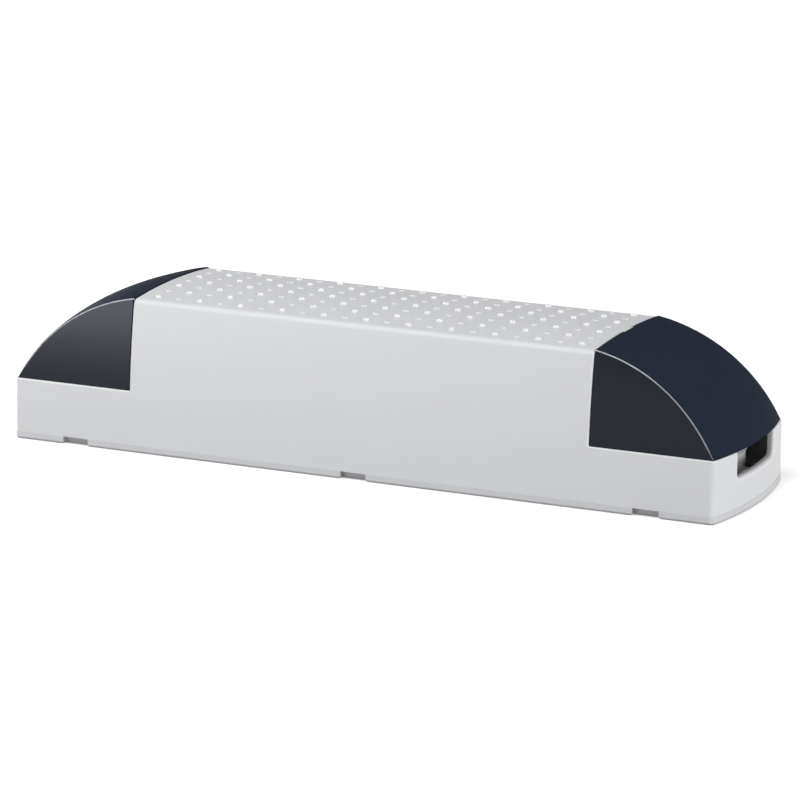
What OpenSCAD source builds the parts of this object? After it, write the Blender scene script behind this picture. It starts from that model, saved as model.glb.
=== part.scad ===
// Electronic transformer: a moulded enclosure with two end caps and the half-bridge converter in it.
// The origin is the middle of the underside. X runs along the body, mains end at -X, and Z is up.

/* [Enclosure] */
// Length between the corners of the end walls
body_l = 198; // [196:1:206]
// Width where the side walls are widest
body_w = 51; // [50.5:0.1:53]
// Height at which a side wall would meet the top
side_h = 40.7; // [40:0.1:43]
// Rise of the top above its long edges
crown = 1.1; // [0.8:0.1:1.5]
// Bulge of each end wall beyond its corners
end_bow = 3; // [2.5:0.1:3.5]
// Height of the band that runs round both ends
band_h = 16.5; // [16:0.1:17]
// Thickness of the housing's walls
wall = 2; // [1.8:0.1:2.1]
// Thickness of the base plate
base_t = 2; // [1.8:0.1:2.2]

/* [Top] */
// Distance between neighbouring bumps
bump_pitch = 6; // [5:0.1:6]
// Number of bumps along the body
bump_cols = 21; // [9:2:21]
// Number of bumps across the body
bump_rows = 7; // [3:2:7]
// Diameter of a bump
bump_d = 1.6; // [1.2:0.1:2]
// Height of the domes
dome_h = 0.6; // [0.5:0.05:0.8]
// Height of the low bumps that alternate with the domes
low_bump_h = 0.25; // [0.2:0.05:0.4]

/* [End caps] */
// Length of the housing's raised middle, between the two cap seams
middle_l = 130; // [128:1:131]
// Radius of a cap's falling edge, seen from the side
cap_r = 45.8; // [45.3:0.1:46.3]
// Distance that a cap's sides stand inside the housing's
cap_inset = 0.4; // [0.3:0.05:0.5]
// Thickness of a cap's wall
cap_wall = 1.8; // [1.6:0.1:1.9]

/* [Cable windows] */
// Width of the window in each end wall
window_w = 26.8; // [22:0.1:27]
// Height of the window's sill
window_sill = 9.7; // [9.2:0.1:10.5]

/* [Fixing] */
// Diameter of the two fixing holes in the base plate
fixing_d = 4.3; // [3.4:0.1:4.5]

/* [Hidden] */

$fn = 48;
// Facets of the large circles whose short arcs shape the walls
arc_fn = 240;

// Side walls: an arc whose widest point is a little above the floor
side_r = 205;
side_z = 6;
side_c = side_r - body_w / 2;
top_z = side_h + crown;
crown_half_w = sqrt(side_r * side_r - pow(side_h - side_z, 2)) - side_c;
crown_r = (crown_half_w * crown_half_w + crown * crown) / (2 * crown);
top_edge_r = 1.8;
end_x = body_l / 2 + end_bow;
bow_r = (body_w * body_w / 4 + end_bow * end_bow) / (2 * end_bow);
corner_r = 1.6;
seam_x = middle_l / 2;
bulkhead_t = 2;
window_r = 1.6;
dome_r = (bump_d * bump_d / 4 + dome_h * dome_h) / (2 * dome_h);
// Ledge by which the base plate stands proud of the housing
base_ledge = 0.15;

// Caps: the falling edge is an arc about a point low in the body
cap_cx = seam_x - 7.2;
cap_cz = band_h - 20.7;
cap_seam_gap = 0.1;
cap_crown = 0.9;
cap_edge_r = 0.5;
cap_ribs = 14;

// Tongues and skirts that hold the caps, with the play round them
tongue_y = 8;
tongue_w = 8;
tongue_z = 35.6;
tongue_t = 1.8;
skirt_x = seam_x + 19;
skirt_l = 6;
skirt_y = 21.6;
skirt_hook_z = 12.2;
skirt_top = 20;
snap_play = 0.3;
// Notch by which the output cap is prised off, and the lug that stands in it
pry_notch_w = 6.8;
pry_lug_w = 6.4;
pry_lug_l = 0.6;

// Board and what stands on it
board_z = base_t + 4;
board_t = 1.6;
board_top = board_z + board_t;
board_half_l = seam_x + 21;
board_half_w = 21.4;
pin_x = seam_x + 15;
pin_y = 17.5;

// Snap hooks and notches of the base plate, along its long sides
notch_w = 7.3;
notch_depth = 1.3;
notch_x = body_l / 2 - 18;
rim_outset = wall + 0.3;
rim_t = 1.2;
hook_w = 6;
hook_t = 1.3;
hook_z = 7.6;

// Cable clamps and the fixing holes beside them
clamp_x = body_l / 2 - 11;
clamp_screw_x = body_l / 2 - 8.5;
clamp_screw_y = 12;
clamp_seat_z = 12.5;
clamp_t = 3;
clamp_foot_l = 7.8;
clamp_foot_w = 16.4;
clamp_foot_z = 11.7;
pillar_l = 5.4;
pillar_w = 6;
saddle_l = 9;
saddle_w = 16;
saddle_z = 7;
fixing_x = clamp_screw_x + 1;
fixing_y = clamp_screw_y + 6.8;

// Terminals
pole_pitch = 7.5;
terminal_x = seam_x + 2.5;
terminal_l = 11;
terminal_h = 14;
mains_poles = 3;
output_poles = 4;

// Output transformer, its winding axis along X
trafo_x = 36;
trafo_z = board_top + 14.6;
core_l = 34.6;
core_w = 34;
core_t = 11;
core_back = 4.6;
core_leg = 4;
core_leg_d = 11;
bobbin_l = core_l - 2 * core_back - 0.1;
bobbin_tube_r = core_leg_d / 2 + 1.2;
primary_wire = 1.3;
secondary_wire = 2.3;
// Gap between one layer of the winding and the next
layer_gap = 0.05;

// Places of the other parts on the board
fuse_at = [-57.5, -8];
varistor_at = [-57.5, 12];
y_capacitor_at = [-47, 14];
interference_capacitor_at = [-47, -8];
choke_at = [-30, -7.5];
choke_z = 5.4;
rectifier_at = [-30, 15.5];
bridge_capacitor_x = -7.5;
drive_ring_at = [9, -13];
drive_ring_z = 2.8;
transistor_x = [-11, 5];
transistor_hole_z = board_top + 18.3;
spreader_x = -19;
spreader_y = 18.6;
spreader_l = 34;
spreader_t = 1.5;
spreader_h = 25;
cutout_at = [58.2, 0];

// Point where circle 1 and circle 2 meet, on the left of the way from centre 1 to centre 2
function circles_meet(c1, r1, c2, r2) =
  let (v = c2 - c1, d = norm(v), a = (r1 * r1 - r2 * r2 + d * d) / (2 * d), h = sqrt(r1 * r1 - a * a))
  c1 + a * v / d + h * [-v[1], v[0]] / d;
function unit(v) = v / norm(v);
// Half width of the body at height z, d inside its outer face
function half_w(z, d = 0) = sqrt(pow(side_r - d, 2) - pow(z - side_z, 2)) - side_c;
// Height of the top at distance y from its middle line
function crown_z(y) = top_z - crown_r + sqrt(crown_r * crown_r - y * y);

module along_x(l) rotate([90, 0, 90]) translate([0, 0, -l / 2]) linear_extrude(l) children();
module along_x_from(x, l) translate([x, 0, 0]) rotate([90, 0, 90]) linear_extrude(l) children();
module both_ends() for (m = [0, 1]) mirror([m, 0, 0]) children();
module both_sides() for (m = [0, 1]) mirror([0, m, 0]) children();

// What a fillet of radius r about c takes off a corner between the directions u1 and u2
module fillet_cut(c, r, u1, u2) difference() {
  polygon([c, c + 4 * r * u1, c + 4 * r * (u1 + u2), c + 4 * r * u2]);
  translate(c) circle(r);
}

// Cross-section of the body, d inside its outer face
module section(d = 0) intersection() {
  translate([-side_c, side_z]) circle(side_r - d, $fn = arc_fn);
  translate([side_c, side_z]) circle(side_r - d, $fn = arc_fn);
  translate([0, top_z - crown_r]) circle(crown_r - d, $fn = arc_fn);
  translate([-body_w, -1]) square([2 * body_w, 2 * side_h]);
}

module rounded_section() {
  side = [-side_c, side_z];
  top = [0, top_z - crown_r];
  c = circles_meet(top, crown_r - top_edge_r, side, side_r - top_edge_r);
  c_right = [abs(c[0]), c[1]];
  difference() {
    section();
    for (m = [0, 1]) mirror([m, 0])
      fillet_cut(c_right, top_edge_r, unit(c_right - side), unit(c_right - top));
  }
}

// Outline of the body from above, d inside its outer face
module plan(d = 0) {
  r = max(corner_r - d, 0.4);
  bow = [end_x - bow_r, 0];
  cy = body_w / 2 - d - r;
  c = [bow[0] + sqrt(pow(bow_r - d - r, 2) - cy * cy), cy];
  difference() {
    intersection() {
      translate(bow) circle(bow_r - d, $fn = arc_fn);
      translate(-bow) circle(bow_r - d, $fn = arc_fn);
      square([2 * end_x + 2, body_w - 2 * d], center = true);
    }
    for (mx = [0, 1], my = [0, 1]) mirror([mx, 0]) mirror([0, my])
      fillet_cut(c, r, [0, 1], unit(c - bow));
  }
}

// Rectangle with round corners
module rounded(l, w, r) {
  square([l - 2 * r, w], center = true);
  square([l, w - 2 * r], center = true);
  for (x = [-1, 1], y = [-1, 1]) translate([x * (l / 2 - r), y * (w / 2 - r)]) circle(r);
}

// Housing
module bump(i, j) {
  y = (j - (bump_rows - 1) / 2) * bump_pitch;
  translate([(i - (bump_cols - 1) / 2) * bump_pitch, y, crown_z(y)])
    if ((i + j) % 2 == 0) translate([0, 0, dome_h - dome_r]) sphere(dome_r, $fn = 24);
    else translate([0, 0, -0.5]) cylinder(d = bump_d, h = 0.5 + low_bump_h, $fn = 24);
}

module housing_inside() difference() {
  intersection() {
    along_x(2 * end_x) section(wall);
    translate([0, 0, -1]) linear_extrude(2 * side_h) plan(wall);
  }
  both_ends() translate([seam_x - bulkhead_t, -body_w / 2, board_top + 0.1])
    cube([bulkhead_t, body_w, side_h]);
}

// Window cut down from the rim of an end wall, its two lower corners round
module cable_window() along_x_from(end_x - 6, 8)
  translate([0, window_sill + band_h / 2]) rounded(window_w, band_h, window_r);

module housing() color("gainsboro") difference() {
  union() {
    intersection() {
      along_x(2 * end_x + 2) rounded_section();
      union() {
        translate([0, 0, base_t]) linear_extrude(band_h - base_t) plan();
        translate([-seam_x, -body_w / 2 - 1, base_t]) cube([middle_l, body_w + 2, side_h]);
      }
    }
    for (i = [0:bump_cols - 1], j = [0:bump_rows - 1]) bump(i, j);
    // Lug that stands in the output cap's pry notch
    intersection() {
      along_x_from(seam_x - 1, 1 + pry_lug_l) section();
      translate([seam_x - 1, -pry_lug_w / 2, top_z - 1.5]) cube([3, pry_lug_w, 3]);
    }
  }
  housing_inside();
  both_ends() {
    cable_window();
    // Slots for the caps' tongues
    both_sides() translate([seam_x - bulkhead_t - 1, tongue_y - snap_play, tongue_z - snap_play])
      cube([bulkhead_t + 2, tongue_w + 2 * snap_play, tongue_t + 2 * snap_play]);
    // Recesses for the hooks of the caps' skirts
    both_sides()
      translate([skirt_x - snap_play, half_w(skirt_hook_z, wall) - 1, skirt_hook_z - 2 * snap_play])
      cube([skirt_l + 2 * snap_play, 1.7, 2.3]);
  }
  // Recesses for the base plate's hooks
  for (x = [-notch_x, 0, notch_x]) both_sides()
    translate([x - hook_w / 2 - snap_play, half_w(hook_z, wall) - 1, hook_z - 0.2])
      cube([hook_w + 2 * snap_play, 1.8, 1.9]);
}

// Base plate
module base_hook() {
  y = body_w / 2 - rim_outset;
  translate([-hook_w / 2, 0, 0]) rotate([90, 0, 90]) linear_extrude(hook_w)
    polygon([[y - hook_t, base_t - 1], [y, base_t - 1], [y, hook_z], [y + 0.7, hook_z],
             [y + 0.7, hook_z + 0.4], [y, hook_z + 1.5], [y - hook_t, hook_z + 1.5]]);
}

// Seat of the cable, and the pillars that the clamp is screwed to
module cable_saddle() {
  translate([clamp_x, -saddle_w / 2, base_t - 1]) cube([saddle_l, saddle_w, saddle_z - base_t + 1]);
  // Gripping ridges
  for (x = [2, 5.5]) translate([clamp_x + x, saddle_w / 2, saddle_z - 0.01]) rotate([90, 0, 0])
    linear_extrude(saddle_w) polygon([[0, 0], [1.6, 0], [0.8, 0.9]]);
  both_sides() translate([clamp_screw_x, clamp_screw_y, base_t - 1])
    linear_extrude(clamp_seat_z - base_t + 1) rounded(pillar_l, pillar_w, 0.8);
}

module base_plate() color("gainsboro") difference() {
  union() {
    intersection() {
      linear_extrude(base_t) plan(-base_ledge);
      along_x(2 * end_x + 2) section(-base_ledge);
    }
    linear_extrude(base_t + 2.2) difference() {
      plan(rim_outset);
      plan(rim_outset + rim_t);
    }
    for (x = [-notch_x, 0, notch_x]) both_sides() translate([x, 0, 0]) base_hook();
    // Ribs and posts that carry the board
    both_sides() translate([-seam_x + 5, 19.6, base_t - 1]) cube([middle_l - 10, 1.2, board_z - base_t + 1]);
    both_ends() both_sides() translate([pin_x, pin_y, base_t - 1]) {
      cylinder(d = 5, h = board_z - base_t + 1);
      cylinder(d = 2.4, h = board_top - base_t + 1.8);
    }
    both_ends() cable_saddle();
    // Bosses of the fixing holes, on opposite corners
    for (s = [-1, 1]) translate([s * fixing_x, -s * fixing_y, 0]) cylinder(d = 8, h = base_t + 1.5);
  }
  for (x = [-notch_x, 0, notch_x]) both_sides()
    translate([x - notch_w / 2, half_w(0) - notch_depth, -1]) cube([notch_w, 5, base_t + 1]);
  both_ends() both_sides() translate([clamp_screw_x, clamp_screw_y, base_t + 2])
    cylinder(d = 2.3, h = clamp_seat_z);
  for (s = [-1, 1]) translate([s * fixing_x, -s * fixing_y, -1]) cylinder(d = fixing_d, h = base_t + 4);
}

// End caps
// The falling edge of a cap, d inside its outer face: t runs from 0 at the seam to 1 at the rim
function cap_angle(t, d) =
  let (r = cap_r - d, a0 = asin((seam_x + cap_seam_gap - cap_cx) / r), a1 = acos((band_h - cap_cz) / r))
  a0 + (a1 - a0) * t;
function cap_edge(t, d) =
  let (a = cap_angle(t, d), r = cap_r - d) [cap_cx + r * sin(a), cap_cz + r * cos(a)];
// The crown rises from the edge upright at the seam and turns level at the rim, where it is the bulge
function cap_lean(t) = 90 * t;
function cap_rise(t) = cap_crown * (1 - t) + (end_x - cap_inset - cap_edge(1, 0)[0]) * t;

module cap_rib(t, d) {
  e = cap_edge(t, d);
  rise = cap_rise(t);
  w = half_w(e[1], cap_inset + d) - cap_edge_r;
  translate([e[0], 0, e[1]]) rotate([0, cap_lean(t), 0]) rotate([90, 0, 90]) linear_extrude(0.01)
    polygon([
      for (a = [90:-30:30]) [-w - cap_edge_r * sin(a), cap_edge_r * (cos(a) - 1)],
      for (s = [-1:0.125:1]) [w * s, rise * (1 - s * s)],
      for (a = [30:30:90]) [w + cap_edge_r * sin(a), cap_edge_r * (cos(a) - 1)]
    ]);
}

// Closed form of a cap, d inside its outer face and run on by over past the seam and the rim
module cap_form(d, over = 0) hull() {
  for (i = [0:cap_ribs]) cap_rib(i / (cap_ribs + 1), d);
  intersection() {
    translate([0, 0, band_h - over]) linear_extrude(over + 0.01) plan(cap_inset + d);
    along_x(2 * end_x) section(cap_inset + d);
    translate([seam_x, -body_w, 0]) cube([body_l, 2 * body_w, side_h]);
  }
  intersection() {
    along_x_from(seam_x + cap_seam_gap - over, over + 0.01) section(cap_inset + d);
    translate([0, -body_w, band_h - over]) cube([body_l, 2 * body_w, cap_edge(0, d)[1] - band_h - 1 + over]);
  }
}

module end_cap(pry_notch) difference() {
  union() {
    difference() {
      cap_form(0);
      cap_form(cap_wall, 1);
    }
    both_sides() {
      // Tongue that enters the bulkhead
      translate([seam_x + cap_seam_gap, tongue_y, tongue_z]) cube([cap_wall, tongue_w, 4.6]);
      translate([seam_x - bulkhead_t - 0.8, tongue_y, tongue_z]) cube([bulkhead_t + 2, tongue_w, tongue_t]);
      // Skirt that snaps inside the band
      translate([skirt_x, skirt_y, band_h + 0.5]) cube([skirt_l, 2.1, skirt_top - band_h - 0.5]);
      along_x_from(skirt_x, skirt_l) translate([skirt_y, skirt_hook_z])
        polygon([[0, -1.2], [0.8, -1.2], [2, 0], [2, 0.7], [1.4, 1.1], [1.4, skirt_top - skirt_hook_z],
                 [0, skirt_top - skirt_hook_z]]);
    }
  }
  if (pry_notch) translate([seam_x - 1, -pry_notch_w / 2, side_h - 1]) cube([1.8, pry_notch_w, 6]);
}

module mains_end_cap() color("#2a2f3a") mirror([1, 0, 0]) end_cap(false);
module output_end_cap() color("#2a2f3a") end_cap(true);

// Board and base insulation
module circuit_board() color("darkgreen") translate([0, 0, board_z]) linear_extrude(board_t) difference() {
  rounded(2 * board_half_l, 2 * board_half_w, 1.5);
  for (x = [-1, 1], y = [-1, 1]) translate([x * pin_x, y * pin_y]) circle(d = 2.8);
}

module insulating_sheet() color("wheat") translate([0, 0, base_t]) linear_extrude(0.4)
  rounded(middle_l - 12, 38.4, 2);

// Terminal blocks
module at_poles(n) for (i = [0:n - 1]) translate([0, (i - (n - 1) / 2) * pole_pitch, 0]) children();

module terminal_body(n) difference() {
  translate([terminal_x, 0, board_top]) rotate([90, 0, 0]) translate([0, 0, -n * pole_pitch / 2 - 0.8])
    linear_extrude(n * pole_pitch + 1.6)
    polygon([[0, 0], [terminal_l, 0], [terminal_l, 9.6], [terminal_l - 1.6, terminal_h], [0, terminal_h]]);
  at_poles(n) {
    translate([terminal_x + 3.5, -2.7, board_top + 2]) cube([terminal_l, 5.4, 6.8]);
    translate([terminal_x + 7.1, 0, board_top + 8]) cylinder(d = 4.8, h = terminal_h);
  }
}

module terminal_clamps(n) at_poles(n) difference() {
  translate([terminal_x + 3.7, -2.5, board_top + 2]) cube([6.4, 5, 6.6]);
  translate([terminal_x, -1.6, board_top + 2.8]) cube([terminal_l, 3.2, 3.4]);
  translate([terminal_x + 7.1, 0, board_top + 5]) cylinder(d = 3, h = 6);
}

module terminal_screws(n) at_poles(n) translate([terminal_x + 7.1, 0, board_top]) difference() {
  union() {
    translate([0, 0, 6.4]) cylinder(d = 2.9, h = 4.6);
    translate([0, 0, 10.8]) cylinder(d = 4.4, h = 2.2);
  }
  translate([-3, -0.4, 12]) cube([6, 0.8, 2]);
}

module mains_terminal_body() color("#d8d4c4") mirror([1, 0, 0]) terminal_body(mains_poles);
module mains_terminal_clamps() color("goldenrod") mirror([1, 0, 0]) terminal_clamps(mains_poles);
module mains_terminal_screws() color("silver") mirror([1, 0, 0]) terminal_screws(mains_poles);
module output_terminal_body() color("#d8d4c4") terminal_body(output_poles);
module output_terminal_clamps() color("goldenrod") terminal_clamps(output_poles);
module output_terminal_screws() color("silver") terminal_screws(output_poles);

// Cable clamps
module cable_clamp() difference() {
  union() {
    // Bar over the two pillars
    translate([clamp_screw_x, 0, clamp_seat_z]) linear_extrude(clamp_t)
      rounded(pillar_l + 0.6, 2 * clamp_screw_y + pillar_w + 1, 1.5);
    // Foot that presses on the cable, its edges round
    along_x_from(clamp_x, clamp_foot_l) translate([0, (clamp_foot_z + clamp_seat_z + clamp_t) / 2])
      rounded(clamp_foot_w, clamp_seat_z + clamp_t - clamp_foot_z, 1.3);
  }
  both_sides() translate([clamp_screw_x, clamp_screw_y, clamp_seat_z - 1]) cylinder(d = 3, h = 6);
}

module clamp_screws() both_sides() translate([clamp_screw_x, clamp_screw_y, clamp_seat_z]) difference() {
  union() {
    translate([0, 0, 3]) cylinder(d = 5.4, h = 1.8);
    cylinder(d = 2.8, h = 3.1);
    translate([0, 0, -7]) cylinder(d = 2.2, h = 7.1);
  }
  for (a = [0, 90]) rotate([0, 0, a]) translate([-1.5, -0.4, 3.8]) cube([3, 0.8, 2]);
}

module mains_cable_clamp() color("gainsboro") mirror([1, 0, 0]) cable_clamp();
module output_cable_clamp() color("gainsboro") cable_clamp();
module mains_clamp_screws() color("silver") mirror([1, 0, 0]) clamp_screws();
module output_clamp_screws() color("silver") clamp_screws();

// Mains input side
module on_board(at) translate([at[0], at[1], board_top]) children();

module fuse() color("white") on_board(fuse_at) translate([0, 0, 4.6]) rotate([90, 0, 0]) {
  cylinder(d = 5, h = 20, center = true);
  for (s = [-1, 1]) translate([0, 0, 7.5 * s]) cylinder(d = 5.3, h = 5, center = true);
}

module fuse_clips() color("silver") on_board(fuse_at) for (s = [-1, 1])
  translate([0, 7.5 * s + 2, 4.6]) rotate([90, 0, 0]) linear_extrude(4) difference() {
    union() {
      circle(d = 6.3);
      translate([-2, -4.6]) square([4, 3]);
    }
    circle(d = 5.34);
    translate([-4, 1.6]) square([8, 4]);
  }

// Disc component standing on two leads
module disc_part(d, t, lead_gap) {
  translate([0, 0, d / 2 + 2]) rotate([0, 90, 0]) rotate_extrude() intersection() {
    union() {
      square([d - t * 0.6, t], center = true);
      for (s = [-1, 1]) translate([s * (d / 2 - t * 0.5), 0]) circle(t / 2);
    }
    translate([0, -t]) square([d, 2 * t]);
  }
  for (s = [-1, 1]) translate([0, s * lead_gap / 2, 0]) cylinder(d = 0.8, h = 4);
}

module varistor() color("royalblue") on_board(varistor_at) disc_part(12, 4, 6);
module y_capacitor() color("steelblue") on_board(y_capacitor_at) disc_part(9, 3.6, 5);

// Film capacitor in a moulded box, on four feet
module film_box(l, w, h) {
  translate([0, 0, 0.8]) linear_extrude(h - 0.8) rounded(l, w, 0.8);
  for (x = [-1, 1], y = [-1, 1])
    translate([x * (l / 2 - 1.6), y * (w / 2 - 1.2), 0]) cylinder(d = 1.4, h = 1);
}

module interference_capacitor() color("goldenrod") on_board(interference_capacitor_at) film_box(9, 19, 16);
module bridge_capacitors() color("firebrick") for (y = [-14.5, -5])
  on_board([bridge_capacitor_x, y]) film_box(18, 8.4, 16);

// Turns of wire round the section of a ring core, from angle a0 to a1
module ring_turns(n, a0, a1, r, w, h, wire) for (i = [0:n - 1])
  rotate([0, 0, a0 + (a1 - a0) * i / (n - 1)]) translate([r, wire / 2, 0]) rotate([90, 0, 0])
    linear_extrude(wire) difference() {
      rounded(w + 2 * wire, h + 2 * wire, wire);
      square([w + 0.04, h + 0.04], center = true);
    }

module choke_core() color("dimgray") on_board(choke_at) translate([0, 0, choke_z]) rotate_extrude()
  translate([7.6, 0]) square([4.4, 9], center = true);
module choke_windings() color("orange") on_board(choke_at) translate([0, 0, choke_z])
  for (a = [0, 180]) rotate([0, 0, a]) ring_turns(12, 22, 158, 7.6, 4.4, 9, 0.9);

module bridge_rectifier() color("#333333") on_board(rectifier_at) {
  translate([0, 2, 3]) rotate([90, 0, 0]) linear_extrude(3.8) difference() {
    translate([-10, 0]) square([20, 14]);
    translate([-10, 14]) rotate(45) square(3, center = true);
    translate([0, 10]) circle(d = 3.4);
  }
  for (x = [-7.5, -2.5, 2.5, 7.5]) translate([x - 0.5, -0.3, 0]) cube([1, 0.6, 3.1]);
}

// Power stage
module heat_spreader() color("silver") difference() {
  union() {
    translate([spreader_x, spreader_y, board_top]) cube([spreader_l, spreader_t, spreader_h]);
    translate([spreader_x, spreader_y - 6, board_top + spreader_h])
      cube([spreader_l, 6 + spreader_t, spreader_t]);
  }
  for (x = transistor_x)
    translate([x, spreader_y + 3, transistor_hole_z]) rotate([90, 0, 0]) cylinder(d = 2.5, h = 6);
}

module switching_transistors() color("#333333") for (x = transistor_x)
  translate([x, spreader_y - 0.2, 0]) difference() {
    translate([0, 0, board_top]) {
      translate([-5, -4.5, 6]) cube([10, 4.1, 9]);
      translate([-5, -1.3, 6]) cube([10, 1.3, 15.4]);
      for (p = [-2.54, 0, 2.54]) translate([p - 0.4, -2.9, 0]) cube([0.8, 0.5, 6.1]);
    }
    translate([0, 1, transistor_hole_z]) rotate([90, 0, 0]) cylinder(d = 3.6, h = 4);
  }

module transistor_pads() color("lightsteelblue") for (x = transistor_x)
  translate([x, spreader_y - 0.2, 0]) difference() {
    translate([-6, 0, board_top + 5]) cube([12, 0.2, 18]);
    translate([0, 1, transistor_hole_z]) rotate([90, 0, 0]) cylinder(d = 3.2, h = 3);
  }

module transistor_screws() color("silver") for (x = transistor_x)
  translate([x, spreader_y, transistor_hole_z]) rotate([90, 0, 0]) {
    translate([0, 0, -1.4]) cylinder(d = 2.4, h = 3);
    translate([0, 0, 1.5]) cylinder(d = 5, h = 1.9);
  }

module drive_ring() color("dimgray") on_board(drive_ring_at) translate([0, 0, drive_ring_z]) rotate_extrude()
  translate([4.9, 0]) square([2.8, 4.4], center = true);
module drive_windings() color("orange") on_board(drive_ring_at) translate([0, 0, drive_ring_z])
  for (a = [0, 120, 240]) rotate([0, 0, a]) ring_turns(4, -24, 24, 4.9, 2.8, 4.4, 0.6);

// Small part lying on bent leads
module axial_part(l, d, lead_gap) translate([0, 0, d / 2 + 0.6]) {
  rotate([0, 90, 0]) cylinder(d = d * 0.86, h = l, center = true);
  for (s = [-1, 1]) {
    translate([s * (l / 2 - d * 0.3), 0, 0]) rotate([0, 90, 0]) cylinder(d = d, h = d * 0.6, center = true);
    translate([s * (lead_gap + l) / 4, 0, 0]) rotate([0, 90, 0])
      cylinder(d = 0.6, h = (lead_gap - l) / 2 + 0.6, center = true);
    translate([s * lead_gap / 2, 0, -d / 2 - 0.6]) cylinder(d = 0.6, h = d / 2 + 0.9);
  }
}

module resistors() color("tan") {
  for (y = [-4.5, -1, 2.5]) on_board([10, y]) axial_part(6.4, 2.4, 11);
  for (y = [4, 8]) on_board([bridge_capacitor_x, y]) axial_part(9, 3.4, 15);
}
module diodes() color("#333333") {
  for (y = [6, 9.4]) on_board([10, y]) axial_part(4.6, 2.4, 9);
  for (x = [-20.5, -17.5]) on_board([x, 9]) rotate([0, 0, 90]) axial_part(4, 1.9, 8);
}

// Output transformer
module at_trafo() translate([trafo_x, 0, trafo_z]) children();

// One E-shaped half, its back to +X
module core_half() {
  difference() {
    translate([0, -core_w / 2, -core_t / 2]) cube([core_l / 2, core_w, core_t]);
    translate([-1, -core_w / 2 + core_leg, -core_t])
      cube([core_l / 2 - core_back + 1, core_w - 2 * core_leg, 2 * core_t]);
  }
  rotate([0, 90, 0]) cylinder(d = core_leg_d, h = core_l / 2 - 1);
}

module core_half_output() color("dimgray") at_trafo() core_half();
module core_half_mains() color("dimgray") at_trafo() mirror([1, 0, 0]) core_half();

module bobbin() color("ivory") at_trafo() difference() {
  union() {
    rotate([0, 90, 0]) cylinder(r = bobbin_tube_r, h = bobbin_l, center = true);
    both_ends() {
      translate([bobbin_l / 2 - 1.2, -12.5, -12.6]) cube([1.2, 25, 25.2]);
      // Pin rail on the board
      translate([bobbin_l / 2 - 1.2, -12.5, -14.6]) cube([5.4, 25, 4.4]);
    }
  }
  rotate([0, 90, 0]) cylinder(d = core_leg_d + 0.1, h = 2 * bobbin_l, center = true);
}

// Coil of n round turns lying side by side on a tube of radius r
module coil(n, r, wire) rotate([0, 90, 0]) rotate_extrude() {
  for (i = [0:n - 1]) translate([r + wire / 2, (i - (n - 1) / 2) * wire * 0.96]) circle(d = wire);
  translate([r, -n * wire * 0.46]) square([wire / 2, n * wire * 0.92]);
}

module primary_winding() color("orange") at_trafo() coil(16, bobbin_tube_r + layer_gap, primary_wire);
module secondary_winding() color("peru") at_trafo()
  coil(9, bobbin_tube_r + primary_wire + 2 * layer_gap, secondary_wire);

module core_tape() color("gold") at_trafo() difference() {
  cube([core_l + 0.6, core_w + 0.6, core_t - 3], center = true);
  cube([core_l + 0.04, core_w + 0.04, core_t], center = true);
}

module thermal_cutout() color("white") on_board(cutout_at) {
  translate([0, 0, 1.2]) linear_extrude(5) rounded(5, 14, 1);
  for (s = [-1, 1]) translate([0, 5 * s, 0]) cylinder(d = 1, h = 1.4);
}

housing();
base_plate();
mains_end_cap();
output_end_cap();
circuit_board();
insulating_sheet();
mains_terminal_body();
mains_terminal_clamps();
mains_terminal_screws();
output_terminal_body();
output_terminal_clamps();
output_terminal_screws();
mains_cable_clamp();
mains_clamp_screws();
output_cable_clamp();
output_clamp_screws();
fuse();
fuse_clips();
varistor();
interference_capacitor();
choke_core();
choke_windings();
bridge_rectifier();
bridge_capacitors();
y_capacitor();
heat_spreader();
switching_transistors();
transistor_pads();
transistor_screws();
drive_ring();
drive_windings();
resistors();
diodes();
core_half_mains();
core_half_output();
bobbin();
primary_winding();
secondary_winding();
core_tape();
thermal_cutout();
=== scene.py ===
"""Looks of the electronic transformer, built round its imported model.

Lengths are in millimetres until a mesh is made, and those of the lamps and the floor are in metres."""

import math

import bmesh
import bpy
from mathutils import Matrix, Vector


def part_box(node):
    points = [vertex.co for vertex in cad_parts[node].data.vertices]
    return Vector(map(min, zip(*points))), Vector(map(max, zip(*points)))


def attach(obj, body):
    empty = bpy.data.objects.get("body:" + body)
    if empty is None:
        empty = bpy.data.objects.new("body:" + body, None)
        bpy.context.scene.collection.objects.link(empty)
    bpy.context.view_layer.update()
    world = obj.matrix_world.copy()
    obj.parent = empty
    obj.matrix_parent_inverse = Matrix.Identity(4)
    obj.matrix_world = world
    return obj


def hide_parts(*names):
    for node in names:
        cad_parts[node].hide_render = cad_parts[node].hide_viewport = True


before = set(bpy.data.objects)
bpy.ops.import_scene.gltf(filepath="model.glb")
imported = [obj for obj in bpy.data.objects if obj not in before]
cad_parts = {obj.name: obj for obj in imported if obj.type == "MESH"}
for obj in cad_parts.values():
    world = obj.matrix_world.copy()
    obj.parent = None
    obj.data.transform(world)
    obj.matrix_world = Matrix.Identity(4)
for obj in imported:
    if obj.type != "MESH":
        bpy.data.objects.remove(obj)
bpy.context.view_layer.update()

MM = 0.001

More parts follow.
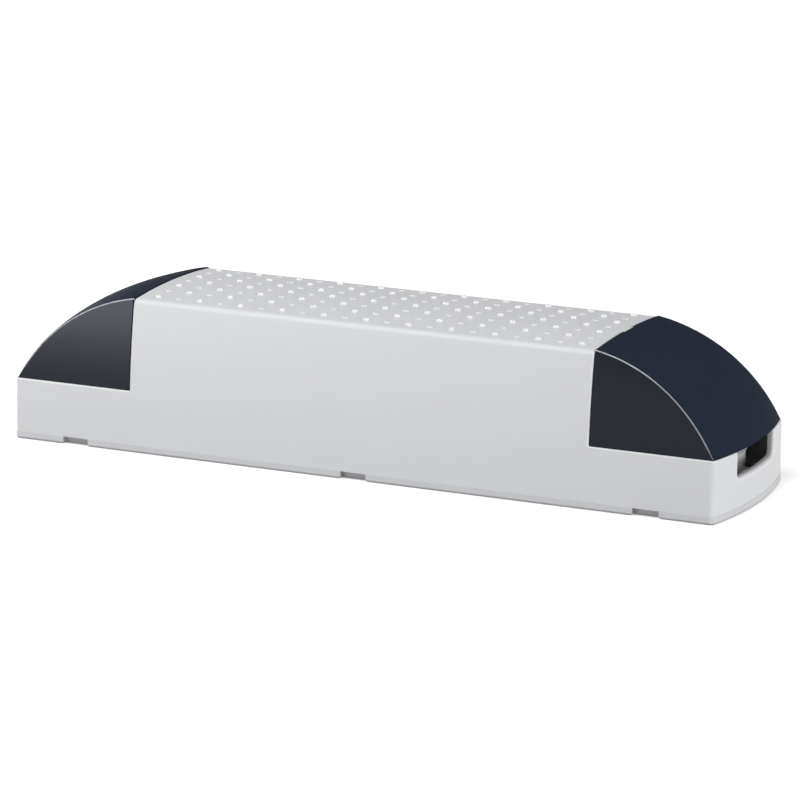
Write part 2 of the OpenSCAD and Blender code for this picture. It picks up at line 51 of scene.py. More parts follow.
# Sizes, the same as the solid model's
BODY_W = 51.0
BODY_L = 198.0
SIDE_H = 40.7
CROWN = 1.1
END_BOW = 3.0
BAND_H = 16.5
WALL = 2.0
BASE_T = 2.0
BASE_LEDGE = 0.15
SEAM_X = 65.0
BULKHEAD_X = 63.0
BULKHEAD_Z = 7.7
CORNER_R = 1.6
INNER_CORNER_R = 0.4
TOP_EDGE_R = 1.8
SIDE_R = 205.0
SIDE_Z = 6.0
SIDE_C = SIDE_R - BODY_W / 2
TOP_Z = SIDE_H + CROWN
CROWN_HALF_W = math.sqrt(SIDE_R**2 - (SIDE_H - SIDE_Z) ** 2) - SIDE_C
CROWN_R = (CROWN_HALF_W**2 + CROWN**2) / (2 * CROWN)
END_X = BODY_L / 2 + END_BOW
BOW_R = (BODY_W**2 / 4 + END_BOW**2) / (2 * END_BOW)
BOW_X = END_X - BOW_R
WINDOW_HALF_W = 13.4
WINDOW_SILL = 9.7
WINDOW_R = 1.6
BUMP_PITCH = 6.0
BUMP_COLS = 21
BUMP_ROWS = 7
BUMP_D = 1.6
DOME_H = 0.6
LOW_BUMP_H = 0.25
CAP_R = 45.8
CAP_CX = SEAM_X - 7.2
CAP_CZ = BAND_H - 20.7
CAP_INSET = 0.4
CAP_WALL = 1.8
CAP_SEAM_GAP = 0.1
CAP_CROWN = 0.9
NOTCH_W = 7.3
NOTCH_DEPTH = 1.3
NOTCH_X = BODY_L / 2 - 18
FIXING = (91.5, 18.8)
FIXING_R = 2.15

# Lug at the middle of a seam, and the notch in the output cap that shows it
LUG_HALF_W = 3.2
LUG_DEPTH = 1.5
LUG_X = (SEAM_X - 0.4, SEAM_X + 0.6)
PRY_NOTCH_HALF_W = 3.4
PRY_NOTCH_X = (SEAM_X - 1, SEAM_X + 0.8)
PRY_NOTCH_Z = (SIDE_H - 1, SIDE_H + 5)

# A cap's upper tabs and the slots of the bulkhead that take them, as spans
TAB_X = (BULKHEAD_X - 0.8, SEAM_X + 1.2)
TAB_Y = (8.0, 16.0)
TAB_Z = (35.6, 37.4)
TAB_ROOT_TOP = 40.2
SLOT_X = (62.0, 66.0)
SLOT_Y = (7.7, 16.3)
SLOT_Z = (35.3, 37.7)

# The hooks on a cap's skirts, and the recesses of the band that take them
CAP_HOOK_X = (SEAM_X + 19, SEAM_X + 25)
CAP_HOOK_Y = 21.6
CAP_HOOK_Z = 12.2
CAP_HOOK = [(0, -1.2), (0.8, -1.2), (2, 0), (2, 0.7), (1.4, 1.1), (1.4, 7.8), (0, 7.8)]
CAP_RECESS_X = (83.7, 90.3)
CAP_RECESS_Z = (11.6, 13.9)
CAP_RECESS_DEPTH = 0.7

# The recesses for the base plate's hooks
BASE_HOOK_Z = 7.6
BASE_RECESS_HALF_L = 3.3
BASE_RECESS_Z = (7.4, 9.3)
BASE_RECESS_DEPTH = 0.8

# Rounding of edges
EDGE_R = 0.3
WINDOW_EDGE_R = 0.9
BESIDE_WINDOW_EDGE_R = 0.6
INNER_EDGE_R = 0.2
BAND_FOOT_EDGE_R = 0.04
CAP_EDGE_R = 0.45
CAP_INNER_EDGE_R = 0.05
CAP_SEAM_EDGE_R = 0.38
BASE_EDGE_R = 0.6
# Faces that meet at more than this angle, in degrees, meet in a sharp edge
SHARP_ANGLE = 32

# Steps across half a cap's back and round its edge, and how many of the latter carry a painted highlight
CAP_BACK_STEPS = 12
CAP_TURN_STEPS = 5
CAP_RUBBED_STEPS = 3


# Mesh making
def key(p):
    """A point's name when its neighbours are looked up."""
    return tuple(round(c, 3) for c in p)


class Shell:
    """Faces gathered in millimetres, each with the number of its finish, and the edges that get rounded."""

    def __init__(self, mirror_x=True, mirror_y=True):
        self.faces = []
        self.rounded = {}
        self.flips = [
            (sx, sy) for sx in ((1, -1) if mirror_x else (1,)) for sy in ((1, -1) if mirror_y else (1,))
        ]

    def face(self, points, finish=0):
        """One face and its mirror images."""
        for sx, sy in self.flips:
            corners = []
            for x, y, z in points:
                p = (sx * x, sy * y, z)
                if not corners or key(p) != key(corners[-1]):
                    corners.append(p)
            if key(corners[0]) == key(corners[-1]):
                corners.pop()
            if len(corners) > 2:
                self.faces.append((corners, finish))

    def grid(self, rows, finish=0):
        """Four-sided faces between neighbouring rows of points."""
        for a, b in zip(rows, rows[1:]):
            for i in range(len(a) - 1):
                self.face([a[i], a[i + 1], b[i + 1], b[i]], finish)

    def round_edges(self, points, radius):
        """The edges along a line of points get this radius."""
        for sx, sy in self.flips:
            names = [key((sx * x, sy * y, z)) for x, y, z in points]
            for a, b in zip(names, names[1:]):
                self.rounded[frozenset((a, b))] = radius

    def mesh(self, name, finishes, segments=3, edge_finish=-1):
        """The welded, rounded mesh as an object, in metres, with its finishes as materials."""
        bm = bmesh.new()
        found = {}
        for corners, finish in self.faces:
            verts = []
            for p in corners:
                k = key(p)
                if k not in found:
                    found[k] = bm.verts.new(p)
                verts.append(found[k])
            if len(set(verts)) > 2 and bm.faces.get(verts) is None:
                bm.faces.new(verts).material_index = finish
        bmesh.ops.recalc_face_normals(bm, faces=bm.faces)
        widest = max(self.rounded.values(), default=0)
        if widest:
            weight = bm.edges.layers.float.new("bevel_weight_edge")
            for e in bm.edges:
                pair = frozenset(key(v.co) for v in e.verts)
                e[weight] = self.rounded.get(pair, 0) / widest
        bm.transform(Matrix.Scale(MM, 4))
        obj = object_of(bm, name, *finishes)
        if widest:
            rounding = obj.modifiers.new("rounding", "BEVEL")
            rounding.limit_method = "WEIGHT"
            rounding.width = widest * MM
            rounding.segments = segments
            rounding.harden_normals = True
            rounding.use_clamp_overlap = False
            rounding.material = edge_finish
        return settle(obj)


def object_of(bm, name, *finishes):
    """An object made from a bmesh, smooth up to its sharp edges, with its materials."""
    mesh = bpy.data.meshes.new(name)
    for finish in finishes:
        mesh.materials.append(finish)
    bm.to_mesh(mesh)
    bm.free()
    mesh.shade_smooth()
    mesh.set_sharp_from_angle(angle=math.radians(SHARP_ANGLE))
    obj = bpy.data.objects.new(name, mesh)
    bpy.context.scene.collection.objects.link(obj)
    return obj


def settle(obj):
    """The object's modifiers become part of its mesh."""
    bpy.context.view_layer.update()
    evaluated = obj.evaluated_get(bpy.context.evaluated_depsgraph_get())
    mesh = bpy.data.meshes.new_from_object(evaluated)
    obj.modifiers.clear()
    old = obj.data
    obj.data = mesh
    bpy.data.meshes.remove(old)
    mesh.name = obj.name
    return obj


def cut(obj, cutter, operation="DIFFERENCE"):
    """Takes the cutter's volume off the object, or adds it, and removes the cutter."""
    boolean = obj.modifiers.new("cut", "BOOLEAN")
    boolean.operation = operation
    boolean.solver = "EXACT"
    boolean.object = cutter
    settle(obj)
    bpy.data.objects.remove(cutter)
    return obj


def firm(obj):
    """Large faces keep their own shading, and only the narrow ones between them turn it."""
    obj.modifiers.new("shading", "WEIGHTED_NORMAL").keep_sharp = True
    return settle(obj)


def ring(bm, r, z, steps, cx=0, cy=0):
    """A level ring of vertices."""
    angles = [2 * math.pi * i / steps for i in range(steps)]
    return [bm.verts.new((cx + r * math.cos(a), cy + r * math.sin(a), z)) for a in angles]


def join_rings(bm, rings):
    """Four-sided faces between neighbouring closed rings of vertices."""
    for lower, upper in zip(rings, rings[1:]):
        for i in range(len(lower)):
            j = (i + 1) % len(lower)
            bm.faces.new((lower[i], lower[j], upper[j], upper[i]))


def prisms(name, parts):
    """One object of several straight prisms, each given as its lowest x, highest x and (y, z) outline."""
    bm = bmesh.new()
    for x0, x1, outline in parts:
        ends = [[bm.verts.new((x, y, z)) for y, z in outline] for x in (x0, x1)]
        join_rings(bm, ends)
        bm.faces.new(ends[0])
        bm.faces.new(ends[1])
    bmesh.ops.recalc_face_normals(bm, faces=bm.faces)
    bm.transform(Matrix.Scale(MM, 4))
    return object_of(bm, name)


def oblong(y0, y1, z0, z1):
    """A rectangle's (y, z) outline."""
    return [(y0, z0), (y1, z0), (y1, z1), (y0, z1)]


def turned(name, outline, centres, steps):
    """One object of several upright turned solids, all with the same (radius, height) outline."""
    bm = bmesh.new()
    for cx, cy in centres:
        rings = [ring(bm, r, z, steps, cx, cy) for r, z in outline]
        join_rings(bm, rings)
        bm.faces.new(list(reversed(rings[0])))
        bm.faces.new(rings[-1])
    bmesh.ops.recalc_face_normals(bm, faces=bm.faces)
    bm.transform(Matrix.Scale(MM, 4))
    return object_of(bm, name)


def spread(a, b, steps):
    """Numbers from a to b, both included."""
    return [a + (b - a) * i / steps for i in range(steps + 1)]


# Form of the body

# Stations along the raised middle, from its middle to where its end edge starts to turn
MIDDLE_XS = (0, 13, 26, 39, 52, BULKHEAD_X, SEAM_X - EDGE_R)
# Stations along the band, between the seam and the corner
BAND_XS = (75, 86)
# Heights of rows of points on the inner faces, inside the band and above it
BAND_INSIDE_Z = 12.0
INSIDE_ZS = (22.0, 28.0, 34.0)
# Rows of points up the band's outer face, as shares of its height
BAND_ROWS = (0, 0.04, 0.17, 0.31, 0.45, 0.59, 0.73, 0.87, 0.96, 0.99)


def half_w(z, d=0.0):
    """Half width of the body at height z, d inside its outer face."""
    return math.sqrt((SIDE_R - d) ** 2 - (z - SIDE_Z) ** 2) - SIDE_C


def crown_z(y, d=0.0):
    """Height of the top at distance y from its middle line."""
    return TOP_Z - CROWN_R + math.sqrt((CROWN_R - d) ** 2 - y * y)


def corner(z, d):
    """Centre, radius and last angle of the corner between a side and an end wall."""
    r = max(CORNER_R - d, INNER_CORNER_R)
    cy = half_w(z, d) - r
    cx = BOW_X + math.sqrt((BOW_R - d - r) ** 2 - cy * cy)
    return cx, cy, r, math.atan2(cy, cx - BOW_X)


def end_point(y, z, d):
    """Point of the bowed end wall. A window's edge keeps its y through the wall."""
    _, _, _, a = corner(z, 0)
    outer = BOW_R * math.sin(a)
    _, _, _, a = corner(z, d)
    limit = (BOW_R - d) * math.sin(a)
    # Out to this y it is kept, and beyond it the points draw together to end at the corner
    kept = 18.0
    if y > kept:
        y = kept + (y - kept) * (limit - kept) / (outer - kept)
    return BOW_X + math.sqrt((BOW_R - d) ** 2 - y * y), y, z


def corner_point(share, z, d):
    """Point of the rounded corner, from the side at 0 to the end wall at 1."""
    cx, cy, r, last = corner(z, d)
    a = math.pi / 2 + (last - math.pi / 2) * share
    return cx + r * math.cos(a), cy + r * math.sin(a), z


def window_stations():
    """Stations along the end wall's rim from its corner to the middle of the window: the rim's y and z, the
    way from the wall into the opening, the y at the foot and the rounding radius of the outer edge."""
    _, _, _, a = corner(BAND_H, 0)
    start = BOW_R * math.sin(a)
    way_in, way_up = (-1, 0), (0, 1)
    # Feet stand wider than the rim, so that the columns fan out beside the window
    beside, beside_foot = WINDOW_HALF_W + 1.9, WINDOW_HALF_W + 4.6
    jamb_foot, round_foot = WINDOW_HALF_W + 3.2, WINDOW_HALF_W + 1.7
    sill_foot = WINDOW_HALF_W - 1.4
    stations = [
        (y, BAND_H, *way_up, foot, EDGE_R)
        for y, foot in zip(spread(start, beside, 4)[1:], spread(start, beside_foot, 4)[1:])
    ]
    last_foot = (beside_foot + jamb_foot) / 2
    stations.append((WINDOW_HALF_W + 1.1, BAND_H, *way_up, last_foot, BESIDE_WINDOW_EDGE_R))
    jamb = spread(BAND_H, WINDOW_SILL + WINDOW_R, 3)
    feet = spread(jamb_foot, round_foot, 3)
    stations.append((WINDOW_HALF_W, jamb[0], -1, 1, feet[0], WINDOW_EDGE_R))
    stations += [(WINDOW_HALF_W, z, *way_in, foot, WINDOW_EDGE_R) for z, foot in zip(jamb[1:], feet[1:])]
    middle = WINDOW_HALF_W - WINDOW_R
    steps = 6
    for a, foot in zip(spread(0, math.pi / 2, steps)[1:], spread(round_foot, sill_foot, steps)[1:]):
        y, z = middle + WINDOW_R * math.cos(a), WINDOW_SILL + WINDOW_R * (1 - math.sin(a))
        stations.append((y, z, -math.cos(a), math.sin(a), foot, WINDOW_EDGE_R))
    for y, foot in zip(spread(middle, 0, 5)[1:], spread(sill_foot, 0, 5)[1:]):
        stations.append((y, WINDOW_SILL, *way_up, foot, WINDOW_EDGE_R))
    return stations


def band_stations():
    """Stations round a quarter of the band, each as the radius of its outer edge and a function that gives
    its point at a share of the height, back from the rim's edge and d inside the outer face."""

    def level(share, back):
        return BASE_T + (BAND_H - back - BASE_T) * share

    def side_point(x):
        return lambda share, back, d: (x, half_w(level(share, back), d), level(share, back))

    def turned_point(s):
        return lambda share, back, d: corner_point(s, level(share, back), d)

    def wall_point(y, z, way_y, way_z, foot):
        def point(share, back, d):
            rim_y, rim_z = y - way_y * back, z - way_z * back
            return end_point(foot + (rim_y - foot) * share, BASE_T + (rim_z - BASE_T) * share, d)

        return point

    stations = [(EDGE_R, side_point(x)) for x in (*MIDDLE_XS, SEAM_X, *BAND_XS)]
    stations += [(EDGE_R, turned_point(s)) for s in spread(0, 1, 8)]
    return stations + [(radius, wall_point(*where)) for *where, radius in window_stations()]


def outer_profile(d=0.0):
    """Half the raised middle's cross-section as (y, z), d inside it, from the band to the middle line."""
    side = (-SIDE_C, SIDE_Z)
    top = (0.0, TOP_Z - CROWN_R)
    # The edge's centre lies where the circles of the top and the side cross, both less the edge's radius
    r1, r2 = CROWN_R - TOP_EDGE_R, SIDE_R - TOP_EDGE_R
    dist = math.dist(side, top)
    along = (r1 * r1 - r2 * r2 + dist * dist) / (2 * dist)
    across = math.sqrt(r1 * r1 - along * along)
    ux, uz = (side[0] - top[0]) / dist, (side[1] - top[1]) / dist
    cy, cz = top[0] + along * ux + across * uz, top[1] + along * uz - across * ux
    low = math.atan2(cz - side[1], cy - side[0])
    high = math.atan2(cz - top[1], cy - top[0])
    r = TOP_EDGE_R - d
    points = [(half_w(z, d), z) for z in spread(BAND_H, side[1] + (SIDE_R - d) * math.sin(low), 12)[:-1]]
    points += [(cy + r * math.cos(a), cz + r * math.sin(a)) for a in spread(low, high, 8)]
    points += [(y, crown_z(y, d)) for y in spread((CROWN_R - d) * math.cos(high), 0, 14)[1:]]
    return points


def inner_profile():
    """Half of the cavity's cross-section as (y, z), from the base up to the middle line."""
    # The height at which the inner faces of the side and the top meet
    z = SIDE_H
    for _ in range(20):
        z = crown_z(half_w(z, WALL), WALL)
    points = [(half_w(h, WALL), h) for h in (BASE_T, BULKHEAD_Z, BAND_INSIDE_Z, BAND_H, *INSIDE_ZS, z)]
    return points + [(y, crown_z(y, WALL)) for y in spread(points[-1][0], 0, 8)[1:]]


def band_section(radius, point):
    """One station's points: up the outer face, over the rounded rim, round the rim's inner edge, and down
    the inner face to the bulkhead's foot and the base."""
    turn = spread(0, math.pi / 2, 4)
    up = [point(share, radius, 0) for share in BAND_ROWS]
    over = [point(1, radius * (1 - math.sin(a)), radius * (1 - math.cos(a))) for a in turn]
    r = INNER_EDGE_R
    into = [point(1, r * (1 - math.cos(a)), WALL - r * (1 - math.sin(a))) for a in turn]
    inside = (BAND_INSIDE_Z, BULKHEAD_Z, BASE_T)
    down = [point((z - BASE_T) / (BAND_H - r - BASE_T), r, WALL) for z in inside]
    return up, over, into, down


def housing_shell(finishes):
    """The moulded housing: band, raised middle, bulkheads and the windows in its end walls."""
    shell = Shell()
    stations = band_stations()
    sections = [band_section(*station) for station in stations[len(MIDDLE_XS) :]]
    shell.grid([up + over[:1] for up, over, _, _ in sections])
    # The rim's rounded edge takes finish 1, paler as a painted highlight
    shell.grid([over for _, over, _, _ in sections], 1)
    shell.grid([over[-1:] + into + down for _, over, into, down in sections])
    feet = [point(0, 0, 0) for _, point in stations]
    shell.grid([feet, [point(0, 0, WALL) for _, point in stations]])
    shell.round_edges(feet, BAND_FOOT_EDGE_R)

    up, over, into, down = sections[0]
    heights = [z for _, _, z in up + over[:1]] + [BAND_H]
    shell.grid([[(x, half_w(z), z) for z in heights] for x in (*MIDDLE_XS, SEAM_X)])
    turn = spread(0, math.pi / 2, 4)
    ends = [(SEAM_X - EDGE_R * (1 - math.sin(a)), outer_profile(EDGE_R * (1 - math.cos(a)))) for a in turn]
    shell.grid([[(x, y, z) for y, z in ends[0][1]] for x in MIDDLE_XS])
    # The rounded edge at the seam takes finish 1, paler as a painted highlight
    shell.grid([[(x, y, z) for y, z in profile] for x, profile in ends], 1)
    corner_at = (SEAM_X, half_w(BAND_H), BAND_H)
    shell.face([*[(x, *profile[0]) for x, profile in ends], corner_at])
    shell.face([*over, corner_at])

    cavity = inner_profile()
    shell.grid([[(x, y, z) for y, z in cavity] for x in MIDDLE_XS[:-1]])
    low = [p for p in cavity if p[1] <= BULKHEAD_Z]
    under = (*MIDDLE_XS[-2:], SEAM_X)
    shell.grid([[(x, y, z) for y, z in low] for x in under])
    shell.grid([[(x, low[-1][0], BULKHEAD_Z), (x, 0, BULKHEAD_Z)] for x in under])
    above = [p for p in cavity if p[1] >= BULKHEAD_Z]
    shell.face([(BULKHEAD_X, y, z) for y, z in above + [(0, BULKHEAD_Z)]])
    inside = list(reversed(into + down[:2]))
    shell.face([(SEAM_X, 0, BULKHEAD_Z), *inside, *[(SEAM_X, y, z) for y, z in ends[-1][1]]])
    return shell.mesh("housing_shell", finishes, 4)


def recess(side, z, depth, span):
    """A recess's outline in a side wall, this deep into the wall's inner face at height z."""
    wall_y = half_w(z, WALL)
    return oblong(side * (wall_y - 1), side * (wall_y + depth), *span)


def housing(finishes):
    """The housing with its lug, and the slots and recesses that its neighbours snap into."""
    obj = housing_shell(finishes)
    lug = [(y, crown_z(y)) for y in spread(-LUG_HALF_W, LUG_HALF_W, 4)]
    lug += [(y, TOP_Z - LUG_DEPTH) for y in (LUG_HALF_W, -LUG_HALF_W)]
    cut(obj, prisms("lug", [(*LUG_X, lug)]), "UNION")

    holes = []
    for side in (-1, 1):
        slot = oblong(side * SLOT_Y[0], side * SLOT_Y[1], *SLOT_Z)
        cap_recess = recess(side, CAP_HOOK_Z, CAP_RECESS_DEPTH, CAP_RECESS_Z)
        for (x0, x1), outline in ((SLOT_X, slot), (CAP_RECESS_X, cap_recess)):
            holes += [(x0, x1, outline), (-x1, -x0, outline)]
        base_recess = recess(side, BASE_HOOK_Z, BASE_RECESS_DEPTH, BASE_RECESS_Z)
        for x in (-NOTCH_X, 0, NOTCH_X):
            holes.append((x - BASE_RECESS_HALF_L, x + BASE_RECESS_HALF_L, base_recess))
    return firm(cut(obj, prisms("recesses", holes)))


# End caps
def cap_edge(t, d):
    """Point (x, z) of a cap's falling edge, from the seam at 0 to the rim at 1."""
    r = CAP_R - d
    first = math.asin((SEAM_X + CAP_SEAM_GAP - CAP_CX) / r)
    last = math.acos((BAND_H - CAP_CZ) / r)
    a = first + (last - first) * t
    return CAP_CX + r * math.sin(a), CAP_CZ + r * math.cos(a)


def cap_top(t, s, d):
    """Point of a cap's top, from its middle line at 0 to its edge at 1."""
    x, z = cap_edge(t, d)
    lean = math.radians(90 * t)
    rise = (CAP_CROWN * (1 - t) + (END_X - CAP_INSET - cap_edge(1, 0)[0]) * t) * (1 - s * s)
    return Vector((x + rise * math.sin(lean), half_w(z, CAP_INSET + d) * s, z + rise * math.cos(lean)))


def cap_rib(t, d, edge_r):
    """Points across half a cap: over the top, round its edge and down its side."""
    step = 1e-3
    corner_at = cap_top(t, 1, d)
    t_on = min(max(t, step), 1 - step)
    along = cap_top(t_on + step, 1, d) - cap_top(t_on - step, 1, d)
    across = corner_at - cap_top(t, 1 - step, d)
    top_n = along.cross(across).normalized()
    side_n = Vector((0, SIDE_C + corner_at.y, corner_at.z - SIDE_Z)).normalized()
    centre = corner_at - (top_n + side_n) * edge_r / (1 + top_n.dot(side_n))
    arc = [centre + top_n.slerp(side_n, k) * edge_r for k in spread(0, 1, CAP_TURN_STEPS)]
    s_end = arc[0].y / corner_at.y
    rib = [cap_top(t, s, d) for s in spread(0, s_end, CAP_BACK_STEPS)[:-1]] + arc
    foot_z = max(rib[-1].z, BAND_H)
    x = corner_at.x
    rib += [Vector((x, half_w(z, CAP_INSET + d), z)) for z in spread(foot_z, BAND_H, 8)[1:]]
    # No point passes the seam or the band's rim
    for p in rib:
        p.x = max(p.x, SEAM_X + CAP_SEAM_GAP)
        p.z = max(p.z, BAND_H)
    return [tuple(p) for p in rib]


def end_cap(name, side, finishes):
    """One end cap: side is 1 for the output end, which has the pry notch, and -1 for the mains end."""
    shell = Shell(mirror_x=False)
    # Ribs stand closer together towards the rim
    crowding = 1.15
    rib_steps = 36
    shares = [1 - (1 - t) ** crowding for t in spread(0, 1, rib_steps)]
    outer = [cap_rib(t, 0, CAP_EDGE_R) for t in shares]
    inner = [cap_rib(t, CAP_WALL, CAP_INNER_EDGE_R) for t in shares]
    edge_last = CAP_BACK_STEPS + CAP_TURN_STEPS
    edge_first = edge_last - CAP_RUBBED_STEPS
    # The back takes finish 1, whose lighter navy is painted sheen
    shell.grid([rib[: edge_first + 1] for rib in outer], 1)
    # The rounded edge carries a painted highlight along the front, and is matt along the back
    edges = Shell(mirror_x=False, mirror_y=False)
    edge_ribs = [rib[edge_first : edge_last + 1] for rib in outer]
    edges.grid(edge_ribs, 1)
    edges.grid([[(x, -y, z) for x, y, z in rib] for rib in edge_ribs], 2)
    shell.faces += edges.faces
    shell.grid([rib[edge_last:] for rib in outer])
    shell.grid(inner)
    shell.grid([outer[0], inner[0]])
    shell.grid([outer[-1], inner[-1]])
    shell.grid([[r[-1] for r in outer], [r[-1] for r in inner]])
    shell.round_edges(outer[0], CAP_SEAM_EDGE_R)
    obj = shell.mesh(name, finishes)
    if side > 0:
        notch = oblong(-PRY_NOTCH_HALF_W, PRY_NOTCH_HALF_W, *PRY_NOTCH_Z)
        cut(obj, prisms("pry_notch", [(*PRY_NOTCH_X, notch)]))
    snaps = []
    for sy in (-1, 1):
        y0, y1 = (sy * y for y in TAB_Y)
        snaps.append((SEAM_X + CAP_SEAM_GAP, SEAM_X + CAP_WALL, oblong(y0, y1, TAB_Z[0], TAB_ROOT_TOP)))
        snaps.append((*TAB_X, oblong(y0, y1, *TAB_Z)))
        snaps.append((*CAP_HOOK_X, [(sy * (CAP_HOOK_Y + y), CAP_HOOK_Z + z) for y, z in CAP_HOOK]))
    cut(obj, prisms("snaps", snaps), "UNION")
    if side < 0:
        obj.data.transform(Matrix.Scale(-1, 4, (1, 0, 0)))
        obj.data.flip_normals()
    return firm(obj)


# Base plate

# Stations along a side, between its notches
BASE_XS = (20, 40, 60)


def base_outline(z):
    """A quarter of the base plate's outline at height z, with its notches, from the middle of a side to the
    middle of an end."""
    d = -BASE_LEDGE
    y_side = half_w(z, d)
    y_notch = half_w(0) - NOTCH_DEPTH
    h = NOTCH_W / 2
    points = [(0, y_notch), (h, y_notch), (h, y_side)]
    points += [(x, y_side) for x in BASE_XS]
    points += [(NOTCH_X - h, y_side), (NOTCH_X - h, y_notch), (NOTCH_X + h, y_notch), (NOTCH_X + h, y_side)]
    points += [corner_point(s, z, d)[:2] for s in spread(0, 1, 8)]
    _, _, _, a = corner(z, d)
    reach = BOW_R - d
    points += [(BOW_X + reach * math.cos(b), reach * math.sin(b)) for b in spread(a, 0, 16)[1:]]
    return points


def base_plate(finishes):
    """The base plate: a plate with rounded edges, and on it what stands on the solid model's plate."""
    plate = Shell()
    levels = [[(x, y, z) for x, y in base_outline(z)] for z in (0, BASE_T / 2, BASE_T)]
    # The faces between these points of the outline are the end notch's
    notch_first, notch_last = 6, 9
    # The notches' walls, the underside and the rounded lower edge take finish 1, darker as painted shade
    for i in range(len(levels[0]) - 1):
        in_notch = i < 2 or notch_first <= i < notch_last
        plate.grid([level[i : i + 2] for level in levels], 1 if in_notch else 0)
    plate.face(levels[0] + [(0, 0, 0)], 1)
    plate.face(levels[-1] + [(0, 0, BASE_T)])
    plate.round_edges(levels[0], BASE_EDGE_R)
    obj = plate.mesh("base_shell", finishes, 4, edge_finish=1)

    bm = bmesh.new()
    bm.from_mesh(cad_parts["base_plate"].data)
    bmesh.ops.remove_doubles(bm, verts=bm.verts, dist=1e-6)
    # Cut off just above the plate, and then let down into it
    cut_z, foot_z = (BASE_T + 0.02) * MM, (BASE_T - 0.2) * MM
    parts = bm.verts[:] + bm.edges[:] + bm.faces[:]
    bmesh.ops.bisect_plane(bm, geom=parts, plane_co=(0, 0, cut_z), plane_no=(0, 0, 1), clear_inner=True)
    bmesh.ops.holes_fill(bm, edges=[e for e in bm.edges if e.is_boundary])
    for v in bm.verts:
        if v.co.z < cut_z + 1e-6:
            v.co.z = foot_z
    bmesh.ops.recalc_face_normals(bm, faces=bm.faces)
    cut(obj, object_of(bm, "standing_features"), "UNION")

    r, chamfer = FIXING_R, 0.5
    outline = [(r + chamfer, -0.5), (r + chamfer, -0.01), (r, 0.45), (r, BASE_T + 6)]
    holes = turned("fixing_holes", outline, [(FIXING[0], -FIXING[1]), (-FIXING[0], FIXING[1])], 48)
    return firm(cut(obj, holes))


# Materials

# Bright tin on component leads and plated copper
TIN = "#C4C6C8"


def linear(hex_colour):
    """An sRGB hex colour as linear values with alpha."""
    parts = [int(hex_colour[i : i + 2], 16) / 255 for i in (1, 3, 5)]
    return (*[c / 12.92 if c <= 0.04045 else ((c + 0.055) / 1.055) ** 2.4 for c in parts], 1.0)


def add(tree, kind, inputs=None, **settings):
    """Adds a node with its settings and its inputs, by name or number, and gives its outputs. An input that
    is another node's output is linked, and anything else is a value."""
    node = tree.nodes.new(kind)
    for name, value in settings.items():
        setattr(node, name, value)
    for name, value in (inputs or {}).items():
        if isinstance(value, bpy.types.NodeSocket):
            tree.links.new(value, node.inputs[name])
        else:
            node.inputs[name].default_value = value
    return node.outputs


def surface(name, **values):
    """A new material, its node tree, its shader and the place of a point on the object, in millimetres."""
    material = bpy.data.materials.new(name)
    material.use_nodes = True
    tree = material.node_tree
    shader = tree.nodes["Principled BSDF"]
    for socket, value in values.items():
        shader.inputs[socket.replace("_", " ")].default_value = value
    place = add(tree, "ShaderNodeTexCoord")["Object"]
    in_mm = add(tree, "ShaderNodeVectorMath", {0: place, "Scale": 1 / MM}, operation="SCALE")[0]
    return material, tree, shader, in_mm


def mottle(tree, shader, place, light, dark, size, low, high):
    """Uneven colour and roughness, in patches of a size in millimetres."""
    noise = add(tree, "ShaderNodeTexNoise", {"Vector": place, "Scale": 1 / size, "Detail": 3.0})
    colour = add(
        tree, "ShaderNodeMix", {"Factor": noise[0], 6: linear(dark), 7: linear(light)}, data_type="RGBA"
    )
    tree.links.new(colour[2], shader.inputs["Base Color"])
    rough = add(tree, "ShaderNodeMapRange", {"Value": noise[0], "To Min": low, "To Max": high})
    tree.links.new(rough[0], shader.inputs["Roughness"])


def grain(tree, shader, place, size, depth):
    """Fine relief with a grain size and depth in millimetres."""
    noise = add(tree, "ShaderNodeTexNoise", {"Vector": place, "Scale": 1 / size, "Detail": 2.0})
    bump = add(tree, "ShaderNodeBump", {"Strength": 1.0, "Distance": depth * MM, "Height": noise[0]})
    tree.links.new(bump[0], shader.inputs["Normal"])


def over(tree, shader, mask, colour, rough, metallic=0.0):
    """Lays another finish over the surface wherever the mask is 1."""
    for name, value, kind, under_at, value_at, out_at in (
        ("Base Color", linear(colour), "RGBA", 6, 7, 2),
        ("Roughness", rough, "FLOAT", 2, 3, 0),
        ("Metallic", metallic, "FLOAT", 2, 3, 0),
    ):
        socket = shader.inputs[name]
        under = socket.links[0].from_socket if socket.is_linked else socket.default_value
        mix = add(tree, "ShaderNodeMix", {0: mask, under_at: under, value_at: value}, data_type=kind)
        tree.links.new(mix[out_at], socket)


def plastic(name, light, dark, low, high, ior=1.5, grain_size=0.4, grain_depth=0.004, patch=25.0, **values):
    """A moulded plastic: nearly even colour, gloss that varies a little, and its mould's fine relief."""
    material, tree, shader, place = surface(name, IOR=ior, **values)
    mottle(tree, shader, place, light, dark, patch, low, high)
    grain(tree, shader, place, grain_size, grain_depth)
    return material


def metal(name, light, dark, low, high, marks, grain_depth=0.002):
    """A metal surface with marks whose length along X, Y and Z is given in millimetres."""
    material, tree, shader, place = surface(name, Metallic=1.0)
    drawn = add(tree, "ShaderNodeVectorMath", {0: place, 1: marks}, operation="DIVIDE")[0]
    mottle(tree, shader, drawn, light, dark, 1.0, low, high)
    grain(tree, shader, drawn, 1.0, grain_depth)
    return material


def opened(material):
    """A finished material's node tree, its shader, and a point's X, Y and Z on the object, in metres."""
    tree = material.node_tree
    place = add(tree, "ShaderNodeTexCoord")["Object"]
    return tree, tree.nodes["Principled BSDF"], add(tree, "ShaderNodeSeparateXYZ", {0: place})


def with_tinned_leads(material, height):
    """The same finish with bright tin on everything lower than a height, where the leads are."""
    tree, shader, axes = opened(material)
    low = add(tree, "ShaderNodeMath", {0: axes["Z"], 1: height * MM}, operation="LESS_THAN")[0]
    over(tree, shader, low, TIN, 0.28, 1.0)
    return material


